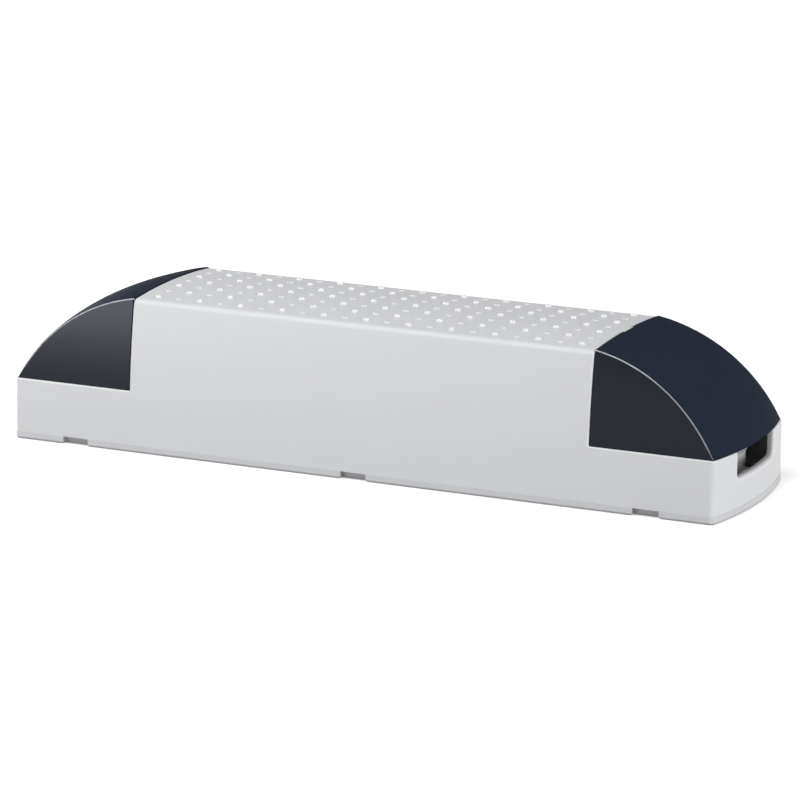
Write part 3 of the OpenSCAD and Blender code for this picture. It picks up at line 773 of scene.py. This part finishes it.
# Outer mouldings
def satin_housing_abs():
    """Light grey ABS from a satin mould: soft broad highlights, and no grain to be seen at arm's length."""
    return plastic("satin_light_grey_abs", "#DCDDDF", "#D8D9DB", 0.40, 0.48, ior=1.52)


def rubbed_housing_abs():
    """The same ABS on its rounded edges, glossier, and paler as a painted highlight: a fine bright line."""
    return plastic("rubbed_light_grey_abs", "#E6E7E9", "#E2E3E5", 0.20, 0.26, ior=1.54, grain_depth=0.002)


def polished_bump_abs():
    """The same ABS where the mould is polished, and painted paler than the housing as a highlight: each dome
    catches the light, and looks white.
    """
    return plastic("polished_light_grey_abs", "#E9EAEC", "#E4E5E7", 0.14, 0.20, ior=1.54, grain_depth=0.001)


def satin_cap_abs():
    """Blue-black ABS on the caps' flanks, from a fine satin mould: dark, with a cool tint in its sheen."""
    return plastic(
        "satin_blue_black_abs", "#0E121C", "#0D111A", 0.235, 0.255, ior=1.45, grain_depth=0.003,
        Specular_IOR_Level=0.28, Specular_Tint=linear("#ECEFFB"),
    )


def matt_cap_abs():
    """The same ABS on the caps' curved backs, spark-eroded to hardly any sheen, and painted a lighter, even
    navy that stands in for the sheen it lacks.
    """
    return plastic(
        "matt_blue_black_abs", "#242A37", "#232936", 0.60, 0.64, ior=1.45, Specular_IOR_Level=0.03
    )


def rubbed_cap_abs():
    """The same ABS on a cap's front edge, glossy, and painted pale grey as a highlight: it draws the arc as
    a bright line.
    """
    return plastic(
        "rubbed_blue_black_abs", "#979CA6", "#8C919B", 0.14, 0.2, ior=1.6, grain_depth=0.001,
        Specular_IOR_Level=1.0,
    )


def moulded_base_abs():
    """Light grey ABS of the base, duller than the housing, with the faint waves of its flat mould."""
    return plastic(
        "matt_light_grey_abs", "#D3D4D6", "#CECFD2", 0.44, 0.54, ior=1.52, grain_size=0.6, grain_depth=0.006
    )


def scuffed_base_abs():
    """The same ABS under the base, on its lower edge and in its notches: duller, and greyed as painted
    shade.
    """
    return plastic(
        "scuffed_grey_abs", "#C0C1C4", "#B5B6B9", 0.55, 0.7, ior=1.52, grain_size=0.6, grain_depth=0.01,
        patch=6.0,
    )


def clamp_polyamide():
    """Grey glass-filled polyamide: fibres near its skin leave a fine dull grain."""
    return plastic(
        "glass_filled_grey_polyamide", "#9A9CA0", "#8E9095", 0.45, 0.6, ior=1.53, grain_size=0.25,
        grain_depth=0.01, patch=4.0,
    )


# Board and insulation
def solder_mask_board():
    """Glass-epoxy board under green solder mask: copper tracks show through as lighter raised lines, vias
    are small tinned rings, and the cut edge is bare yellow-green laminate."""
    material, tree, shader, place = surface("green_solder_mask_glass_epoxy", IOR=1.55)
    mottle(tree, shader, place, "#1D5A36", "#184D2E", 12.0, 0.24, 0.34)
    # Tracks lie in lanes, in stretches of one run each, and every second stretch or so is there
    pitch, track_w, run = 2.54, 0.8, 14.0
    lane_shift = 0.37
    axes = add(tree, "ShaderNodeSeparateXYZ", {0: place})
    copper = 0.0
    for along, across in (("X", "Y"), ("Y", "X")):
        lane = add(tree, "ShaderNodeMath", {0: axes[across], 1: 1 / pitch}, operation="MULTIPLY")[0]
        number = add(tree, "ShaderNodeMath", {0: lane}, operation="FLOOR")[0]
        shift = add(tree, "ShaderNodeMath", {0: number, 1: lane_shift}, operation="MULTIPLY")[0]
        where = {0: axes[along], 1: 1 / run, 2: shift}
        part = add(tree, "ShaderNodeMath", where, operation="MULTIPLY_ADD")[0]
        part = add(tree, "ShaderNodeMath", {0: part}, operation="FLOOR")[0]
        here = add(tree, "ShaderNodeCombineXYZ", {"X": number, "Y": part})[0]
        chance = add(tree, "ShaderNodeTexWhiteNoise", {"Vector": here})["Value"]
        present = add(tree, "ShaderNodeMath", {0: chance, 1: 0.5}, operation="GREATER_THAN")[0]
        in_lane = add(tree, "ShaderNodeMath", {0: lane, 1: 1.0}, operation="PINGPONG")[0]
        line = add(tree, "ShaderNodeMath", {0: in_lane, 1: track_w / pitch}, operation="LESS_THAN")[0]
        tracks = add(tree, "ShaderNodeMath", {0: line, 1: present}, operation="MULTIPLY")[0]
        copper = add(tree, "ShaderNodeMath", {0: copper, 1: tracks}, operation="MAXIMUM")[0]
    over(tree, shader, copper, "#2C7448", 0.26)
    # Radii of a via and its hole, as shares of the distance between vias
    via_spacing, via_r, hole_r = 9.0, 0.085, 0.04
    cells = {"Vector": place, "Scale": 1 / via_spacing, "Randomness": 0.9}
    from_via = add(tree, "ShaderNodeTexVoronoi", cells)["Distance"]
    via = add(tree, "ShaderNodeMath", {0: from_via, 1: via_r}, operation="LESS_THAN")[0]
    hole = add(tree, "ShaderNodeMath", {0: from_via, 1: hole_r}, operation="LESS_THAN")[0]
    over(tree, shader, via, TIN, 0.3, 1.0)
    over(tree, shader, hole, "#15181A", 0.6)
    facing = add(tree, "ShaderNodeSeparateXYZ", {0: add(tree, "ShaderNodeTexCoord")["Normal"]})["Z"]
    upright = add(tree, "ShaderNodeMath", {0: facing}, operation="ABSOLUTE")[0]
    edge = add(tree, "ShaderNodeMath", {0: upright, 1: 0.5}, operation="LESS_THAN")[0]
    over(tree, shader, edge, "#A9A866", 0.7)
    copper_t = 0.035
    relief = {"Strength": 1.0, "Distance": copper_t * MM, "Height": copper}
    tree.links.new(add(tree, "ShaderNodeBump", relief)[0], shader.inputs["Normal"])
    return material


def fish_paper():
    """Vulcanised fibre sheet: pale buff, dull, with short felted fibres."""
    return plastic(
        "buff_vulcanised_fibre", "#D9C79C", "#C9B385", 0.7, 0.85, grain_size=0.5, grain_depth=0.03,
        patch=3.0,
    )


def silicone_pad():
    """Glass-cloth silicone rubber: dull blue-grey. To show, its cloth is drawn coarser than real, at 0.8
    mm."""
    material, tree, shader, place = surface("blue_grey_silicone_rubber", IOR=1.41)
    mottle(tree, shader, place, "#9AA9BC", "#8A99AD", 5.0, 0.6, 0.75)
    thread_spacing, cloth_depth = 0.8, 0.02
    axes = add(tree, "ShaderNodeSeparateXYZ", {0: place})
    threads = 1.0
    for axis in ("X", "Z"):
        way = {0: axes[axis], 1: 2 * math.pi / thread_spacing}
        turn = add(tree, "ShaderNodeMath", way, operation="MULTIPLY")[0]
        wave = add(tree, "ShaderNodeMath", {0: turn}, operation="SINE")[0]
        threads = add(tree, "ShaderNodeMath", {0: threads, 1: wave}, operation="MULTIPLY")[0]
    relief = {"Strength": 1.0, "Distance": cloth_depth * MM, "Height": threads}
    tree.links.new(add(tree, "ShaderNodeBump", relief)[0], shader.inputs["Normal"])
    return material


def polyester_tape():
    """Yellow polyester film tape: glossy, with the long faint ripples of a wrapped film."""
    film = {"IOR": 1.57, "Coat_Weight": 0.5, "Coat_Roughness": 0.08}
    material, tree, shader, place = surface("yellow_polyester_tape", **film)
    long = add(tree, "ShaderNodeVectorMath", {0: place, 1: (9.0, 9.0, 0.7)}, operation="DIVIDE")[0]
    mottle(tree, shader, long, "#E3B92E", "#D4A61F", 1.0, 0.18, 0.3)
    grain(tree, shader, long, 1.0, 0.02)
    return material


def terminal_polyamide():
    """Natural ivory polyamide: waxy, with light that sinks in a little at its edges."""
    return plastic(
        "ivory_polyamide", "#E2DCC8", "#D9D2BC", 0.32, 0.42, ior=1.53, patch=9.0, Subsurface_Weight=0.15,
        Subsurface_Scale=1.0 * MM,
    )


def bobbin_polyester():
    """Glass-filled cream polyester of the bobbin: matt, faintly flecked by its fibres."""
    return plastic(
        "cream_glass_filled_polyester", "#D9D0B6", "#C8BD9F", 0.42, 0.58, grain_size=0.3, grain_depth=0.012,
        patch=2.0,
    )


# Metals
def tumbled_brass():
    """Brass of the terminal clamps, pickled bright, with the fine scratches of its tumbling."""
    return metal("tumbled_brass", "#D8B665", "#C49E4B", 0.25, 0.42, (0.9, 0.9, 0.9))


def zinc_plated_steel():
    """Steel with a thin blue-bright zinc plating: cool grey, with cloudy gloss."""
    return metal("zinc_plated_steel", "#C6CACE", "#AEB4BA", 0.2, 0.38, (1.4, 1.4, 1.4))


def rolled_aluminium():
    """Mill-finish aluminium sheet: long rolling lines along X, drawn 0.5 mm apart, coarser than real, to
    show."""
    return metal("mill_finish_aluminium", "#CDCFD1", "#B4B7BA", 0.28, 0.45, (30.0, 0.5, 0.5), 0.004)


def tinned_spring_brass():
    """Spring brass of the fuse clips under a bright tin plating, slightly wiped by its dipping."""
    return metal("tinned_spring_brass", "#CFD0CF", "#BBBCBA", 0.2, 0.36, (1.0, 1.0, 3.0))


def enamelled_copper(name, light, dark, wire):
    """Copper wire under clear enamel: warm metal below a glossy coat, each turn a little different."""
    enamel = {"Coat_Weight": 0.7, "Coat_Roughness": 0.1, "Coat_IOR": 1.6}
    material, tree, shader, place = surface(name, Metallic=1.0, **enamel)
    turns_apart = add(tree, "ShaderNodeVectorMath", {0: place, 1: (wire, 6.0, 6.0)}, operation="DIVIDE")[0]
    mottle(tree, shader, turns_apart, light, dark, 1.0, 0.22, 0.36)
    return material


# Components
def sintered_ferrite():
    """Manganese-zinc ferrite: dull charcoal ceramic. To show, its grain is drawn at 0.3 mm, coarser than
    real."""
    return plastic(
        "sintered_ferrite", "#45474A", "#37393C", 0.5, 0.72, ior=2.3, grain_size=0.3, grain_depth=0.02,
        patch=1.2,
    )


def epoxy_coated_ferrite():
    """Ring core under a sprayed epoxy coat: dark green-grey with the ripple of the spray."""
    return plastic(
        "epoxy_coated_ferrite", "#3C4A42", "#334039", 0.3, 0.45, grain_size=0.7, grain_depth=0.03, patch=3.0
    )


def dipped_epoxy(name, light, dark):
    """Disc dipped in coloured epoxy powder: glossy, with an orange-peel skin."""
    return plastic(name, light, dark, 0.22, 0.34, ior=1.55, grain_size=0.9, grain_depth=0.04, patch=5.0)


def capacitor_case(name, light, dark):
    """Film capacitor's moulded polyester case: half-gloss, spark-eroded to a fine grain."""
    return plastic(name, light, dark, 0.34, 0.46, ior=1.57, grain_size=0.35, grain_depth=0.012, patch=10.0)


def moulding_compound(name):
    """Black epoxy with silica filler: dull charcoal with a fine sand-like grain."""
    return plastic(
        name, "#2B2C2E", "#222325", 0.5, 0.66, ior=1.56, grain_size=0.22, grain_depth=0.012, patch=2.0
    )


def transistor_package(body_low, body_high):
    """Black moulded package with its nickel-plated copper tab above and tinned legs below."""
    material = with_tinned_leads(moulding_compound("black_epoxy_with_nickel_tab"), body_low)
    tree, shader, axes = opened(material)
    tab = add(tree, "ShaderNodeMath", {0: axes["Z"], 1: body_high * MM}, operation="GREATER_THAN")[0]
    over(tree, shader, tab, "#BFC0BE", 0.3, 1.0)
    return material


def fuse_ceramic(middle, half_body):
    """Glazed ceramic tube between nickel-plated end caps."""
    material = plastic("glazed_fuse_ceramic", "#EFEDE6", "#E4E1D8", 0.16, 0.26, ior=1.55, patch=4.0)
    tree, shader, axes = opened(material)
    off = add(tree, "ShaderNodeMath", {0: axes["Y"], 1: middle}, operation="SUBTRACT")[0]
    away = add(tree, "ShaderNodeMath", {0: off}, operation="ABSOLUTE")[0]
    ends = add(tree, "ShaderNodeMath", {0: away, 1: half_body}, operation="GREATER_THAN")[0]
    over(tree, shader, ends, "#C9CAC8", 0.24, 1.0)
    return material


def lacquered_resistor():
    """Tan lacquered body with four colour bands, on tinned leads. On the large ones the pattern is drawn
    out to their length."""
    material = plastic(
        "tan_resistor_lacquer", "#C9A878", "#BF9C6A", 0.2, 0.3, ior=1.55, grain_size=0.5, patch=2.0
    )
    tree, shader, axes = opened(material)
    small_at, large_at, boundary = 10.0, -7.5, 1.0
    small_half, large_half = 3.2, 4.5
    large = add(tree, "ShaderNodeMath", {0: axes["X"], 1: boundary * MM}, operation="LESS_THAN")[0]
    start, reach = (
        add(tree, "ShaderNodeMix", {0: large, 2: small * MM, 3: big * MM})[0]
        for small, big in ((small_at - small_half, large_at - large_half), (2 * small_half, 2 * large_half))
    )
    from_end = add(tree, "ShaderNodeMath", {0: axes["X"], 1: start}, operation="SUBTRACT")[0]
    share = add(tree, "ShaderNodeMath", {0: from_end, 1: reach}, operation="DIVIDE")[0]
    half_band = 0.045
    for middle, colour in ((0.16, "#6B3A1E"), (0.34, "#141414"), (0.5, "#B3261E"), (0.82, "#A98B3C")):
        where = {0: share, 1: middle, 2: half_band}
        over(tree, shader, add(tree, "ShaderNodeMath", where, operation="COMPARE")[0], colour, 0.25)
    # The lacquer ends a hair beyond the body's two ends
    body = add(tree, "ShaderNodeMath", {0: share, 1: 0.5, 2: 0.505}, operation="COMPARE")[0]
    leads = add(tree, "ShaderNodeMath", {0: 1.0, 1: body}, operation="SUBTRACT")[0]
    over(tree, shader, leads, TIN, 0.28, 1.0)
    return material


def banded_diode():
    """Black moulded body with a silver band at its cathode, on tinned leads, for diodes along X or Y."""
    material = moulding_compound("black_diode_epoxy")
    tree, shader, axes = opened(material)
    along_x_at, along_y_at, boundary = 10.0, 9.0, -10.0
    half_along_x, half_along_y = 2.31, 2.01
    band_at, half_band = 1.35, 0.3
    crosswise = add(tree, "ShaderNodeMath", {0: axes["X"], 1: boundary * MM}, operation="LESS_THAN")[0]
    line = add(tree, "ShaderNodeMix", {0: crosswise, 2: axes["X"], 3: axes["Y"]})[0]
    middle = add(tree, "ShaderNodeMix", {0: crosswise, 2: along_x_at * MM, 3: along_y_at * MM})[0]
    off = add(tree, "ShaderNodeMath", {0: line, 1: middle}, operation="SUBTRACT")[0]
    band = add(tree, "ShaderNodeMath", {0: off, 1: band_at * MM, 2: half_band * MM}, operation="COMPARE")[0]
    over(tree, shader, band, "#B9BABC", 0.4)
    away = add(tree, "ShaderNodeMath", {0: off}, operation="ABSOLUTE")[0]
    half = add(tree, "ShaderNodeMix", {0: crosswise, 2: half_along_x * MM, 3: half_along_y * MM})[0]
    leads = add(tree, "ShaderNodeMath", {0: away, 1: half}, operation="GREATER_THAN")[0]
    over(tree, shader, leads, TIN, 0.28, 1.0)
    return material


def floor_material():
    """White studio floor, which keeps the object's shadow: white to the camera and in reflections, more
    so away from the object, and a mid-grey bounce on the object."""
    material = bpy.data.materials.new("studio_floor_white")
    material.use_nodes = True
    tree = material.node_tree
    tree.nodes.clear()
    path = add(tree, "ShaderNodeLightPath")
    seen = path["Is Camera Ray"]
    for other in ("Is Glossy Ray", "Is Transmission Ray"):
        seen = add(tree, "ShaderNodeMath", {0: seen, 1: path[other]}, operation="MAXIMUM")[0]
    lit = add(tree, "ShaderNodeBsdfDiffuse", {"Color": (0.85, 0.85, 0.85, 1)})[0]
    place = add(tree, "ShaderNodeNewGeometry")["Position"]
    away = add(tree, "ShaderNodeVectorMath", {0: place}, operation="LENGTH")["Value"]
    # The floor's own glow, lower near the object, at distances in metres
    span = {"Value": away, "From Min": 0.15, "From Max": 0.45, "To Min": 0.4, "To Max": 1.0}
    rise = add(tree, "ShaderNodeMapRange", span, interpolation_type="SMOOTHSTEP")[0]
    glow = add(tree, "ShaderNodeEmission", {"Strength": rise})[0]
    bright = add(tree, "ShaderNodeAddShader", {0: lit, 1: glow})[0]
    dim = add(tree, "ShaderNodeBsdfDiffuse", {"Color": (0.5, 0.5, 0.5, 1)})[0]
    mix = add(tree, "ShaderNodeMixShader", {0: seen, 1: dim, 2: bright})[0]
    add(tree, "ShaderNodeOutputMaterial", {"Surface": mix})
    return material


# Scene

# The photograph's camera: its place, the ways to the right and up in its picture, and its focal length
VIEW_FROM = Vector((477.9079, -1073.4331, 304.6844))
VIEW_RIGHT = Vector((0.91281484, 0.40818883, 0.01228583))
VIEW_UP = Vector((-0.10834186, 0.21305417, 0.97101491))
LENS = 207.18


def make_camera():
    """The photograph's view: a long lens from the front, a little to the right and above."""
    data = bpy.data.cameras.new("camera")
    data.sensor_width = 36.0
    data.lens = LENS
    data.clip_start, data.clip_end = 0.05, 60.0
    cam = bpy.data.objects.new("camera", data)
    back = VIEW_RIGHT.cross(VIEW_UP)
    turn = Matrix((VIEW_RIGHT, VIEW_UP, back)).transposed()
    cam.matrix_world = Matrix.Translation(VIEW_FROM * MM) @ turn.to_4x4()
    bpy.context.scene.collection.objects.link(cam)
    bpy.context.scene.camera = cam


# Soft boxes: name, azimuth from the front towards the right, elevation, distance, width, height and watts
LAMPS = [
    ("left_front", -32, 8, 1.2, 0.3, 0.3, 2.75),
    ("left_high", -50, 50, 0.6, 0.3, 0.3, 0.98),
    ("front_high", 5, 62, 0.9, 0.4, 0.25, 2.4),
    ("left_side", -86, 14, 1.2, 0.3, 0.2, 2.4),
    ("right", 82, 12, 1.2, 0.5, 0.5, 8.2),
    ("back_high", 175, 58, 1.2, 0.6, 0.5, 0.7),
    ("back_low", 234, 7, 1.2, 0.4, 0.3, 2.8),
]


def make_lamps():
    """Soft boxes that all face the object."""
    for name, azimuth, elevation, distance, width, height, power in LAMPS:
        data = bpy.data.lights.new("lamp_" + name, "AREA")
        data.shape = "RECTANGLE"
        data.size, data.size_y = width, height
        data.energy = power
        lamp = bpy.data.objects.new("lamp_" + name, data)
        a, e = math.radians(azimuth), math.radians(elevation)
        way = Vector((math.sin(a) * math.cos(e), -math.cos(a) * math.cos(e), math.sin(e)))
        lamp.location = way * distance
        lamp.rotation_mode = "QUATERNION"
        lamp.rotation_quaternion = way.to_track_quat("Z", "Y")
        bpy.context.scene.collection.objects.link(lamp)


def make_world():
    """Studio light from all round, dim near the horizon and brighter overhead."""
    world = bpy.data.worlds.new("studio")
    world.use_nodes = True
    tree = world.node_tree
    way = add(tree, "ShaderNodeTexCoord")["Generated"]
    height = add(tree, "ShaderNodeSeparateXYZ", {0: way})["Z"]
    height = add(tree, "ShaderNodeMath", {0: height, 1: 0.0}, operation="MAXIMUM")[0]
    rise = add(tree, "ShaderNodeMath", {0: height, 1: 2.0}, operation="POWER")[0]
    overhead, lowest = 0.45, 0.04
    level = add(tree, "ShaderNodeMath", {0: rise, 1: overhead, 2: lowest}, operation="MULTIPLY_ADD")[0]
    background = tree.nodes["Background"]
    background.inputs["Color"].default_value = (1, 1, 1, 1)
    tree.links.new(level, background.inputs["Strength"])
    bpy.context.scene.world = world


def make_floor():
    """A wide round floor under the object, and a low backdrop wall along its edge, which low views look at.
    It lies a hair below the base, so that the two faces share no plane."""
    bm = bmesh.new()
    reach, height, steps = 12.0, 0.6, 64
    gap = 0.05 * MM
    foot, top = (ring(bm, reach, z, steps) for z in (-gap, height))
    bm.faces.new(foot)
    # The wall faces inwards
    join_rings(bm, [top, foot])
    object_of(bm, "floor", floor_material())


# Bumps on the top
def lathe_mesh(name, outline, steps):
    """A small closed turned mesh, from (radius, height) points that end on its axis."""
    bm = bmesh.new()
    rings = [ring(bm, r, z, steps) for r, z in outline[:-1]]
    tip = bm.verts.new((0, 0, outline[-1][1]))
    join_rings(bm, rings)
    for i in range(steps):
        bm.faces.new((rings[-1][i], rings[-1][(i + 1) % steps], tip))
    bm.faces.new(list(reversed(rings[0])))
    bm.transform(Matrix.Scale(MM, 4))
    return object_of(bm, name)


def bump_lattice(top, shape, first, finish):
    """Geometry Nodes that drop a lattice of points onto the top and set a shape on every second one. The
    number of rows is odd, so both halves of the points are chequered, and first, 0 or 1, says which half."""
    tree = bpy.data.node_groups.new("bump_lattice", "GeometryNodeTree")
    sizes = {}
    for label, kind, value in (
        ("Length", "NodeSocketFloat", BUMP_PITCH * MM * (BUMP_COLS - 1)),
        ("Width", "NodeSocketFloat", BUMP_PITCH * MM * (BUMP_ROWS - 1)),
        ("Columns", "NodeSocketInt", BUMP_COLS),
        ("Rows", "NodeSocketInt", BUMP_ROWS),
        ("First", "NodeSocketInt", first),
    ):
        socket = tree.interface.new_socket(label, in_out="INPUT", socket_type=kind)
        sizes[socket.identifier] = value
    tree.interface.new_socket("Geometry", in_out="OUTPUT", socket_type="NodeSocketGeometry")
    given = add(tree, "NodeGroupInput")
    counts = {"Vertices X": given["Columns"], "Vertices Y": given["Rows"]}
    grid = add(tree, "GeometryNodeMeshGrid", {"Size X": given["Length"], "Size Y": given["Width"], **counts})
    place = add(tree, "GeometryNodeInputPosition")[0]
    flat, high = (1, 1, 0), (0, 0, 2 * TOP_Z * MM)
    above = add(tree, "ShaderNodeVectorMath", {0: place, 1: flat, 2: high}, operation="MULTIPLY_ADD")[0]
    target = add(tree, "GeometryNodeObjectInfo", {"Object": top})["Geometry"]
    ray = {"Target Geometry": target, "Source Position": above, "Ray Direction": (0, 0, -1)}
    hit = add(tree, "GeometryNodeRaycast", {**ray, "Ray Length": 1.0})
    mesh = grid["Mesh"]
    landed = add(tree, "GeometryNodeSetPosition", {"Geometry": mesh, "Position": hit["Hit Position"]})[0]
    facing = add(tree, "FunctionNodeAlignRotationToVector", {"Vector": hit["Hit Normal"]}, axis="Z")[0]
    index = add(tree, "GeometryNodeInputIndex")[0]
    kind = add(tree, "FunctionNodeIntegerMath", {0: index, 1: 2}, operation="MODULO")[0]
    same = {2: kind, 3: given["First"]}
    chosen = add(tree, "FunctionNodeCompare", same, data_type="INT", operation="EQUAL")[0]
    source = add(tree, "GeometryNodeObjectInfo", {"Object": shape})["Geometry"]
    where = {"Points": landed, "Selection": chosen, "Instance": source, "Rotation": facing}
    placed = add(tree, "GeometryNodeInstanceOnPoints", where)[0]
    real = add(tree, "GeometryNodeRealizeInstances", {"Geometry": placed})[0]
    done = add(tree, "GeometryNodeSetMaterial", {"Geometry": real, "Material": finish})
    add(tree, "NodeGroupOutput", {"Geometry": done[0]})
    return tree, sizes


def bumps(name, top, outline, first, finish):
    """Every second bump of the lattice on the top, each turned from the same outline."""
    shape = lathe_mesh("one_of_" + name, outline, 16)
    tree, sizes = bump_lattice(top, shape, first, finish)
    obj = bpy.data.objects.new(name, bpy.data.meshes.new(name))
    bpy.context.scene.collection.objects.link(obj)
    lattice = obj.modifiers.new("lattice", "NODES")
    lattice.node_group = tree
    for identifier, value in sizes.items():
        lattice[identifier] = value
    settle(obj)
    bpy.data.objects.remove(shape)
    return obj


def dome_outline():
    """A dome's (radius, height) points: a small flare at its foot, and then full shoulders."""
    r = BUMP_D / 2
    sunk, flare = 0.25, 0.15
    points = [(r + flare, -sunk), (r + flare, -0.02), (r + 0.04, 0.02)]
    # Below 1, the shoulders stand out beyond an ellipse's
    fullness = 0.75
    return points + [
        (r * math.cos(a) ** fullness, DOME_H * math.sin(a) ** fullness) for a in spread(0.12, math.pi / 2, 8)
    ]


def low_bump_outline():
    """A low bump's (radius, height) points: a flat button with a turned edge."""
    r, h, sunk = BUMP_D / 2, LOW_BUMP_H, 0.25
    return [(r + 0.05, -sunk), (r + 0.05, 0), (r, h * 0.45), (r - 0.07, h * 0.8), (r - 0.2, h), (0, h)]


# Assembly
def dress(obj, slot, *nodes):
    """Places a piece on the object, and hides the nodes of the solid model that it stands for."""
    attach(obj, "root")
    if nodes:
        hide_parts(*nodes)


def finish_nodes(material, *nodes):
    """Gives nodes of the solid model, shown as they are, a material."""
    for node in nodes:
        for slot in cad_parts[node].material_slots:
            slot.material = material


def finish_circuit():
    """Materials of everything inside the housing. Leads show up to heights counted from the board's top."""
    board_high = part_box("circuit_board")[1].z / MM
    disc_leads, case_leads, rectifier_leads, cutout_leads = 1.6, 0.2, 3.0, 1.2
    package_low, package_high = 6, 15
    fuse_cap_l = 5 * MM
    finish_nodes(solder_mask_board(), "circuit_board")
    finish_nodes(fish_paper(), "insulating_sheet")
    finish_nodes(terminal_polyamide(), "mains_terminal_body", "output_terminal_body")
    finish_nodes(tumbled_brass(), "mains_terminal_clamps", "output_terminal_clamps")
    steel = zinc_plated_steel()
    finish_nodes(steel, "mains_terminal_screws", "output_terminal_screws", "transistor_screws")
    finish_nodes(steel, "mains_clamp_screws", "output_clamp_screws")
    finish_nodes(clamp_polyamide(), "mains_cable_clamp", "output_cable_clamp")
    finish_nodes(tinned_spring_brass(), "fuse_clips")
    low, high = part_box("fuse")
    finish_nodes(fuse_ceramic((low.y + high.y) / 2, (high.y - low.y) / 2 - fuse_cap_l), "fuse")
    blue = dipped_epoxy("dark_blue_dipped_epoxy", "#274B9B", "#1F3F86")
    finish_nodes(with_tinned_leads(blue, board_high + disc_leads), "varistor")
    pale = dipped_epoxy("pale_blue_dipped_epoxy", "#4C7FB0", "#4373A2")
    finish_nodes(with_tinned_leads(pale, board_high + disc_leads), "y_capacitor")
    yellow = capacitor_case("yellow_polyester_case", "#D9A827", "#CE9C1D")
    finish_nodes(with_tinned_leads(yellow, board_high + case_leads), "interference_capacitor")
    red = capacitor_case("dark_red_polyester_case", "#9C2A22", "#8E231C")
    finish_nodes(with_tinned_leads(red, board_high + case_leads), "bridge_capacitors")
    finish_nodes(epoxy_coated_ferrite(), "choke_core", "drive_ring")
    finish_nodes(sintered_ferrite(), "core_half_mains", "core_half_output")
    thin = enamelled_copper("enamelled_copper_of_rings", "#C9743C", "#B5622D", 6.0)
    finish_nodes(thin, "choke_windings", "drive_windings")
    primary = enamelled_copper("enamelled_copper_primary", "#CC7A3F", "#B8652F", 1.25)
    finish_nodes(primary, "primary_winding")
    secondary = enamelled_copper("enamelled_copper_secondary", "#BC6A38", "#A35628", 2.2)
    finish_nodes(secondary, "secondary_winding")
    black = moulding_compound("black_rectifier_epoxy")
    finish_nodes(with_tinned_leads(black, board_high + rectifier_leads), "bridge_rectifier")
    package = transistor_package(board_high + package_low, board_high + package_high)
    finish_nodes(package, "switching_transistors")
    finish_nodes(silicone_pad(), "transistor_pads")
    finish_nodes(rolled_aluminium(), "heat_spreader")
    finish_nodes(lacquered_resistor(), "resistors")
    finish_nodes(banded_diode(), "diodes")
    finish_nodes(bobbin_polyester(), "bobbin")
    finish_nodes(polyester_tape(), "core_tape")
    white = plastic("white_glazed_polyester", "#E9E7E0", "#DEDBD2", 0.24, 0.36, ior=1.55, patch=4.0)
    finish_nodes(with_tinned_leads(white, board_high + cutout_leads), "thermal_cutout")


make_camera()
make_lamps()
make_world()
make_floor()

grey = satin_housing_abs()
grey_edge = rubbed_housing_abs()
cap_finishes = [satin_cap_abs(), matt_cap_abs(), rubbed_cap_abs()]
shell = housing([grey, grey_edge])
dress(bumps("top_domes", shell, dome_outline(), 0, polished_bump_abs()), "housing_plastic")
dress(bumps("low_bumps", shell, low_bump_outline(), 1, grey), "housing_plastic")
dress(shell, "housing_plastic", "housing")
dress(base_plate([moulded_base_abs(), scuffed_base_abs()]), "base_plastic", "base_plate")
dress(end_cap("output_cap_shell", 1, cap_finishes), "cap_plastic", "output_end_cap")
dress(end_cap("mains_cap_shell", -1, cap_finishes), "cap_plastic", "mains_end_cap")
finish_circuit()

bpy.context.scene.view_settings.view_transform = "Standard"
